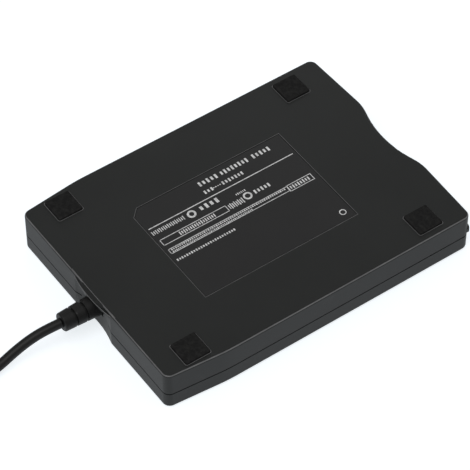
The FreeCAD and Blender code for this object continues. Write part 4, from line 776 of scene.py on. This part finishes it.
def make_chip_legs():
    deselect()
    rows = []
    for x, y, width, depth, face, pitch, sides, way in CHIPS:
        for k in range(4):
            if sides == 2 and k % 2:
                continue
            row = leg_row((width, depth)[k % 2] / 2, (depth, width)[k % 2], pitch)
            row.rotation_euler = (0, 0, math.pi / 2 * k)
            row.scale = (1, 1, way)
            row.location = (x * MM, y * MM, face * MM)
            only(row)
            apply_place()
            if way < 0:
                bpy.ops.object.mode_set(mode="EDIT")
                end_edit()
            rows.append(row)
    settle(join(rows), "chip_legs", "plug_shell_metal", "housing")


make_chip_legs()


# Small parts on the controller and motor boards: ceramic blocks with soldered ends, as (x, y) of their middles
SMALL_PARTS = [
    (-41.0, 20.0), (-41.0, 24.0), (-41.0, 28.0), (-41.0, 32.0), (-21.0, 24.0), (-21.0, 28.0), (-21.0, 32.0),
    (-34.0, 38.0), (-30.0, 38.0), (-26.0, 38.0), (-6.5, 30.0), (-6.5, 34.0), (-6.5, 38.0), (10.0, 29.0),
    (10.0, 33.0), (10.0, 37.0), (18.0, 20.0), (18.0, 24.0), (33.0, 20.0), (33.0, 24.0), (33.0, 28.0), (42.0, 18.0),
    (42.0, 22.0), (42.0, 26.0), (-28.0, -30.0), (-24.0, -30.0), (-20.0, -30.0), (-28.0, -42.0), (-24.0, -42.0),
    (14.0, -40.0), (14.0, -36.0), (27.0, -42.0), (27.0, -38.0), (22.0, -2.0), (22.0, -6.0),
]
# Every third part is larger. Reach and half width are shares of a part's size, heights are in millimetres
PART_SIZES = (1.0, 0.8, 0.8)
BLOCK_REACH = 0.7
BLOCK_HALF_WIDTH = 0.6
BLOCK_HEIGHT = 0.55
END_REACH = (0.66, 1.0)
END_HALF_WIDTH = 0.64
END_HEIGHT = 0.6
PART_BEVEL = 0.08


def make_small_parts():
    deselect()
    blocks, ends = [], []
    for k, (x, y) in enumerate(SMALL_PARTS):
        size = PART_SIZES[k % 3]
        reach, half = size * BLOCK_REACH, size * BLOCK_HALF_WIDTH
        blocks.append(bar(x - reach, x + reach, y - half, y + half, BOARD_TOP, BOARD_TOP + BLOCK_HEIGHT))
        half = size * END_HALF_WIDTH
        for side in (-1, 1):
            x0, x1 = sorted(x + side * size * share for share in END_REACH)
            ends.append(bar(x0, x1, y - half, y + half, BOARD_TOP, BOARD_TOP + END_HEIGHT))
    kinds = ((blocks, "small_parts", "connector_plastic"), (ends, "small_part_ends", "plug_shell_metal"))
    for pieces, name, slot in kinds:
        joined = join(pieces)
        bevel(joined, PART_BEVEL)
        settle(joined, name, slot, "housing")


make_small_parts()


# Stator windings: turns of enamelled wire side by side round each tooth
STATOR_MIDDLE = (-14.0, 12.6)
TEETH = 12
WINDING_ENDS = (9.25, 14.75)
WINDING_TURNS = 12
WINDING_HALF = (1.68, 1.08)
# One turn: its wall and rounding, the share of the pitch that it fills, and its middle over the core's underside
WINDING_WALL = 0.496
WINDING_BEVEL = 0.14
WIRE_SHARE = 0.96
TOOTH_MIDDLE = 0.5


def make_windings():
    """One turn is a flat rounded ring; it is arrayed along its tooth and copied round the hub."""
    deselect()
    pitch = (WINDING_ENDS[1] - WINDING_ENDS[0]) / WINDING_TURNS
    half_y, half_z = WINDING_HALF
    coils = []
    for k in range(TEETH):
        turn = bar(WINDING_ENDS[0], WINDING_ENDS[0] + pitch * WIRE_SHARE, -half_y, half_y,
                   TOOTH_MIDDLE - half_z, TOOTH_MIDDLE + half_z)
        bpy.ops.object.mode_set(mode="EDIT")
        mesh = bmesh.from_edit_mesh(turn.data)
        bpy.ops.mesh.select_mode(type="FACE")
        for face in mesh.faces:
            face.select = abs(face.normal.x) > 0.9
        bmesh.update_edit_mesh(turn.data)
        bpy.ops.mesh.inset(thickness=WINDING_WALL * MM, depth=0.0)
        bpy.ops.mesh.bridge_edge_loops()
        bpy.ops.object.mode_set(mode="OBJECT")
        bevel(turn, WINDING_BEVEL)
        repeat(turn, WINDING_TURNS, (pitch, 0.0, 0.0))
        apply_modifiers(turn)
        turn.rotation_euler = (0, 0, 2 * math.pi / TEETH * k)
        turn.location = (0, STATOR_MIDDLE[0] * MM, STATOR_MIDDLE[1] * MM)
        apply_place()
        coils.append(turn)
    settle(join(coils), "stator_windings", "copper_wire", "housing", ("stator_coils",))


make_windings()


# Lead's cores: one jacket colour for each wire
CORE_COLOURS = [
    ("red core", (0.42, 0.04, 0.03), (0.55, 0.08, 0.06)), ("white core", (0.60, 0.60, 0.58), (0.72, 0.72, 0.70)),
    ("green core", (0.03, 0.26, 0.06), (0.06, 0.38, 0.11)), ("black core", (0.01, 0.01, 0.01), (0.02, 0.02, 0.02)),
]


def make_cores():
    """Gives each separate wire a core colour of its own."""
    cores = clean_copy("lead_wires", "lead_cores", "wire_jacket", "housing")
    cores.data.materials.clear()
    for name, dark, light in CORE_COLOURS:
        cores.data.materials.append(plastic(name, dark, light, (0.35, 0.45), 600.0))
    shape = bmesh.new()
    shape.from_mesh(cores.data)
    seen, islands = set(), []
    for face in shape.faces:
        if face in seen:
            continue
        island, front = [], [face]
        seen.add(face)
        while front:
            here = front.pop()
            island.append(here)
            for edge in here.edges:
                for other in edge.link_faces:
                    if other not in seen:
                        seen.add(other)
                        front.append(other)
        islands.append(island)
    islands.sort(key=lambda island: min(face.calc_center_median().x for face in island))
    for k, island in enumerate(islands):
        for face in island:
            face.material_index = k % len(CORE_COLOURS)
    shape.to_mesh(cores.data)
    shape.free()


make_cores()


# Label print: plain rules, frames and rows of ticks in place of words
LABEL_TOP = 18.4
PRINT_THICK = 0.02
PRINT_RULES = [
    (14.0, 14.4, -33.0, 35.7), (7.05, 7.35, 4.5, 35.4), (3.95, 4.25, 4.5, 35.4), (3.95, 7.35, 35.1, 35.4),
    (3.95, 7.35, 4.5, 4.8), (1.3, 1.6, -20.7, 35.4), (-1.1, -0.8, -20.7, 35.4), (-1.1, 1.6, 35.1, 35.4),
    (-1.6, 1.9, -21.0, -20.5), (1.6, 1.9, -32.0, -20.7), (-1.6, -1.3, -32.0, -20.7), (-1.6, 1.9, -32.3, -32.0),
]
# Rows of ticks: middle x, height, first y, last y, pitch, share of the pitch that is inked
PRINT_TICKS = [
    (22.0, 2.3, -1.8, 6.0, 1.9, 0.5), (22.0, 2.3, -16.4, -3.2, 1.7, 0.5), (22.0, 2.3, -27.0, -18.4, 1.8, 0.5),
    (17.4, 1.8, 3.3, 7.0, 1.6, 0.5), (17.4, 0.5, -0.5, 2.6, 1.0, 0.6), (17.4, 1.8, -11.0, -1.5, 1.5, 0.5),
    (11.5, 2.1, 21.0, 35.6, 0.9, 0.45), (11.5, 2.5, 5.0, 14.0, 2.4, 0.5), (5.65, 1.9, 10.5, 27.0, 1.0, 0.5),
    (5.65, 2.9, -3.0, 3.6, 0.9, 0.5), (9.4, 1.0, -6.5, -2.0, 0.8, 0.5), (6.4, 2.0, -16.0, -9.5, 1.6, 0.5),
    (0.75, 0.75, -19.5, 34.4, 0.95, 0.6), (-0.35, 0.7, -3.0, 34.4, 0.8, 0.55), (0.15, 1.9, -30.6, -22.0, 1.2, 0.5),
    (-4.8, 1.1, 8.4, 35.4, 1.1, 0.55),
]
SHORT_TICK_CUT = 0.22
RING_SIDES = 32
PRINT_RINGS = [(6.4, -5.6, 1.9, 0.75), (11.2, 17.6, 1.9, 0.85), (-21.8, -30.7, 1.45, 0.4)]


def ink(name, dark, light):
    material, tree, shader = new_material(name)
    place = tree.nodes.new("ShaderNodeTexCoord")
    worn = noise_node(tree, INK_WEAR_SCALE, 5.0, 0.6)
    tree.links.new(place.outputs["Object"], worn.inputs["Vector"])
    tree.links.new(tone_colours(tree, worn.outputs["Fac"], dark, light, 0.3, 0.6), shader.inputs["Base Color"])
    tree.links.new(map_range(tree, worn.outputs["Fac"], 0.3, 0.7, 0.45, 0.6), shader.inputs["Roughness"])
    return material


MATERIALS["label_ink"] = ink("label ink", (0.46, 0.46, 0.46), (0.84, 0.84, 0.84))


def tick_row(x, height, y0, y1, pitch, share):
    """One tick at the row's end, repeated along it, with every second tick a little shorter."""
    ticks = []
    for k, cut in enumerate((0.0, SHORT_TICK_CUT)):
        start = y0 + k * pitch
        count = int((y1 - start) / (2 * pitch)) + 1
        if count < 1 or start > y1:
            continue
        half = height * (1 - cut) / 2
        tick = bar(x - half, x + half, start, start + pitch * share, LABEL_TOP, LABEL_TOP + PRINT_THICK)
        repeat(tick, count, (0.0, 2 * pitch, 0.0))
        apply_modifiers(tick)
        ticks.append(tick)
    return ticks


def ring(x, y, radius, width):
    bpy.ops.mesh.primitive_circle_add(
        vertices=RING_SIDES, radius=radius * MM, fill_type="NGON", location=(x * MM, y * MM, LABEL_TOP * MM))
    piece = bpy.context.object
    bpy.ops.object.mode_set(mode="EDIT")
    bpy.ops.mesh.inset(thickness=width * MM, depth=0.0)
    bpy.ops.mesh.delete(type="FACE")
    bpy.ops.mesh.select_all(action="SELECT")
    extrude((0, 0, PRINT_THICK))
    end_edit()
    return piece


def make_print():
    deselect()
    marks = [bar(x0, x1, y0, y1, LABEL_TOP, LABEL_TOP + PRINT_THICK) for x0, x1, y0, y1 in PRINT_RULES]
    for row in PRINT_TICKS:
        marks += tick_row(*row)
    for mark in PRINT_RINGS:
        marks.append(ring(*mark))
    piece = settle(join(marks), "label_print", "label_film", "housing")
    dress(piece, "label_ink")


make_print()


# Stage: floor, light and surroundings
FLOOR_SIZE = 6.0
FLOOR_Z = -0.0002
FLOOR_COLOUR = (0.50, 0.52, 0.56, 1.0)
FLOOR_GLOW_COLOUR = (0.94, 0.98, 1.0, 1.0)
FLOOR_GLOW_SEEN = 0.76
FLOOR_GLOW_GLOSS = 0.60
WORLD_LIGHT = 0.38
# Lamps: name, place, size and power
LAMPS = [
    ("key_lamp", (-0.35, 0.75, 1.8), 1.4, 13.0),
    ("far_lamp", (-1.0, -0.9, 1.5), 1.4, 1.0),
    ("low_lamp", (0.62, -0.44, 0.42), 0.4, 0.45),
]


def make_floor():
    bpy.ops.mesh.primitive_plane_add(size=FLOOR_SIZE, location=(0, 0, FLOOR_Z))
    floor = bpy.context.object
    floor.name = "floor"
    material, tree, shader = new_material("pale floor")
    shader.inputs["Base Color"].default_value = FLOOR_COLOUR
    shader.inputs["Roughness"].default_value = 0.7
    shader.inputs["Specular IOR Level"].default_value = 0.2
    path = tree.nodes.new("ShaderNodeLightPath")
    glow = tree.nodes.new("ShaderNodeEmission")
    glow.inputs["Color"].default_value = FLOOR_GLOW_COLOUR
    total = tree.nodes.new("ShaderNodeAddShader")
    seen = map_range(tree, path.outputs["Is Camera Ray"], 0.0, 1.0, 0.0, FLOOR_GLOW_SEEN)
    lift = tree.nodes.new("ShaderNodeMath")
    lift.operation = "MULTIPLY_ADD"
    lift.inputs[1].default_value = FLOOR_GLOW_GLOSS
    tree.links.new(path.outputs["Is Glossy Ray"], lift.inputs[0])
    tree.links.new(seen, lift.inputs[2])
    tree.links.new(lift.outputs["Value"], glow.inputs["Strength"])
    tree.links.new(shader.outputs["BSDF"], total.inputs[0])
    tree.links.new(glow.outputs["Emission"], total.inputs[1])
    tree.links.new(total.outputs["Shader"], tree.nodes["Material Output"].inputs["Surface"])
    floor.data.materials.append(material)


def make_world():
    world = bpy.data.worlds.new("studio")
    bpy.context.scene.world = world
    world.use_nodes = True
    tree = world.node_tree
    back = tree.nodes["Background"]
    back.inputs["Color"].default_value = (1.0, 1.0, 1.0, 1.0)
    path = tree.nodes.new("ShaderNodeLightPath")
    seen = tree.nodes.new("ShaderNodeMath")
    seen.operation = "MAXIMUM"
    tree.links.new(path.outputs["Is Camera Ray"], seen.inputs[0])
    tree.links.new(path.outputs["Is Transmission Ray"], seen.inputs[1])
    tree.links.new(map_range(tree, seen.outputs["Value"], 0.0, 1.0, WORLD_LIGHT, 1.0), back.inputs["Strength"])


def make_lamp(name, place, size, power):
    bpy.ops.object.light_add(type="AREA", location=place)
    lamp = bpy.context.object
    lamp.name = name
    lamp.data.shape = "DISK"
    lamp.data.size = size
    lamp.data.energy = power
    lamp.rotation_mode = "QUATERNION"
    lamp.rotation_quaternion = (Vector((0, 0, 0)) - Vector(place)).to_track_quat("-Z", "Y")


make_floor()
make_world()
for lamp in LAMPS:
    make_lamp(*lamp)

bpy.context.view_layer.update()
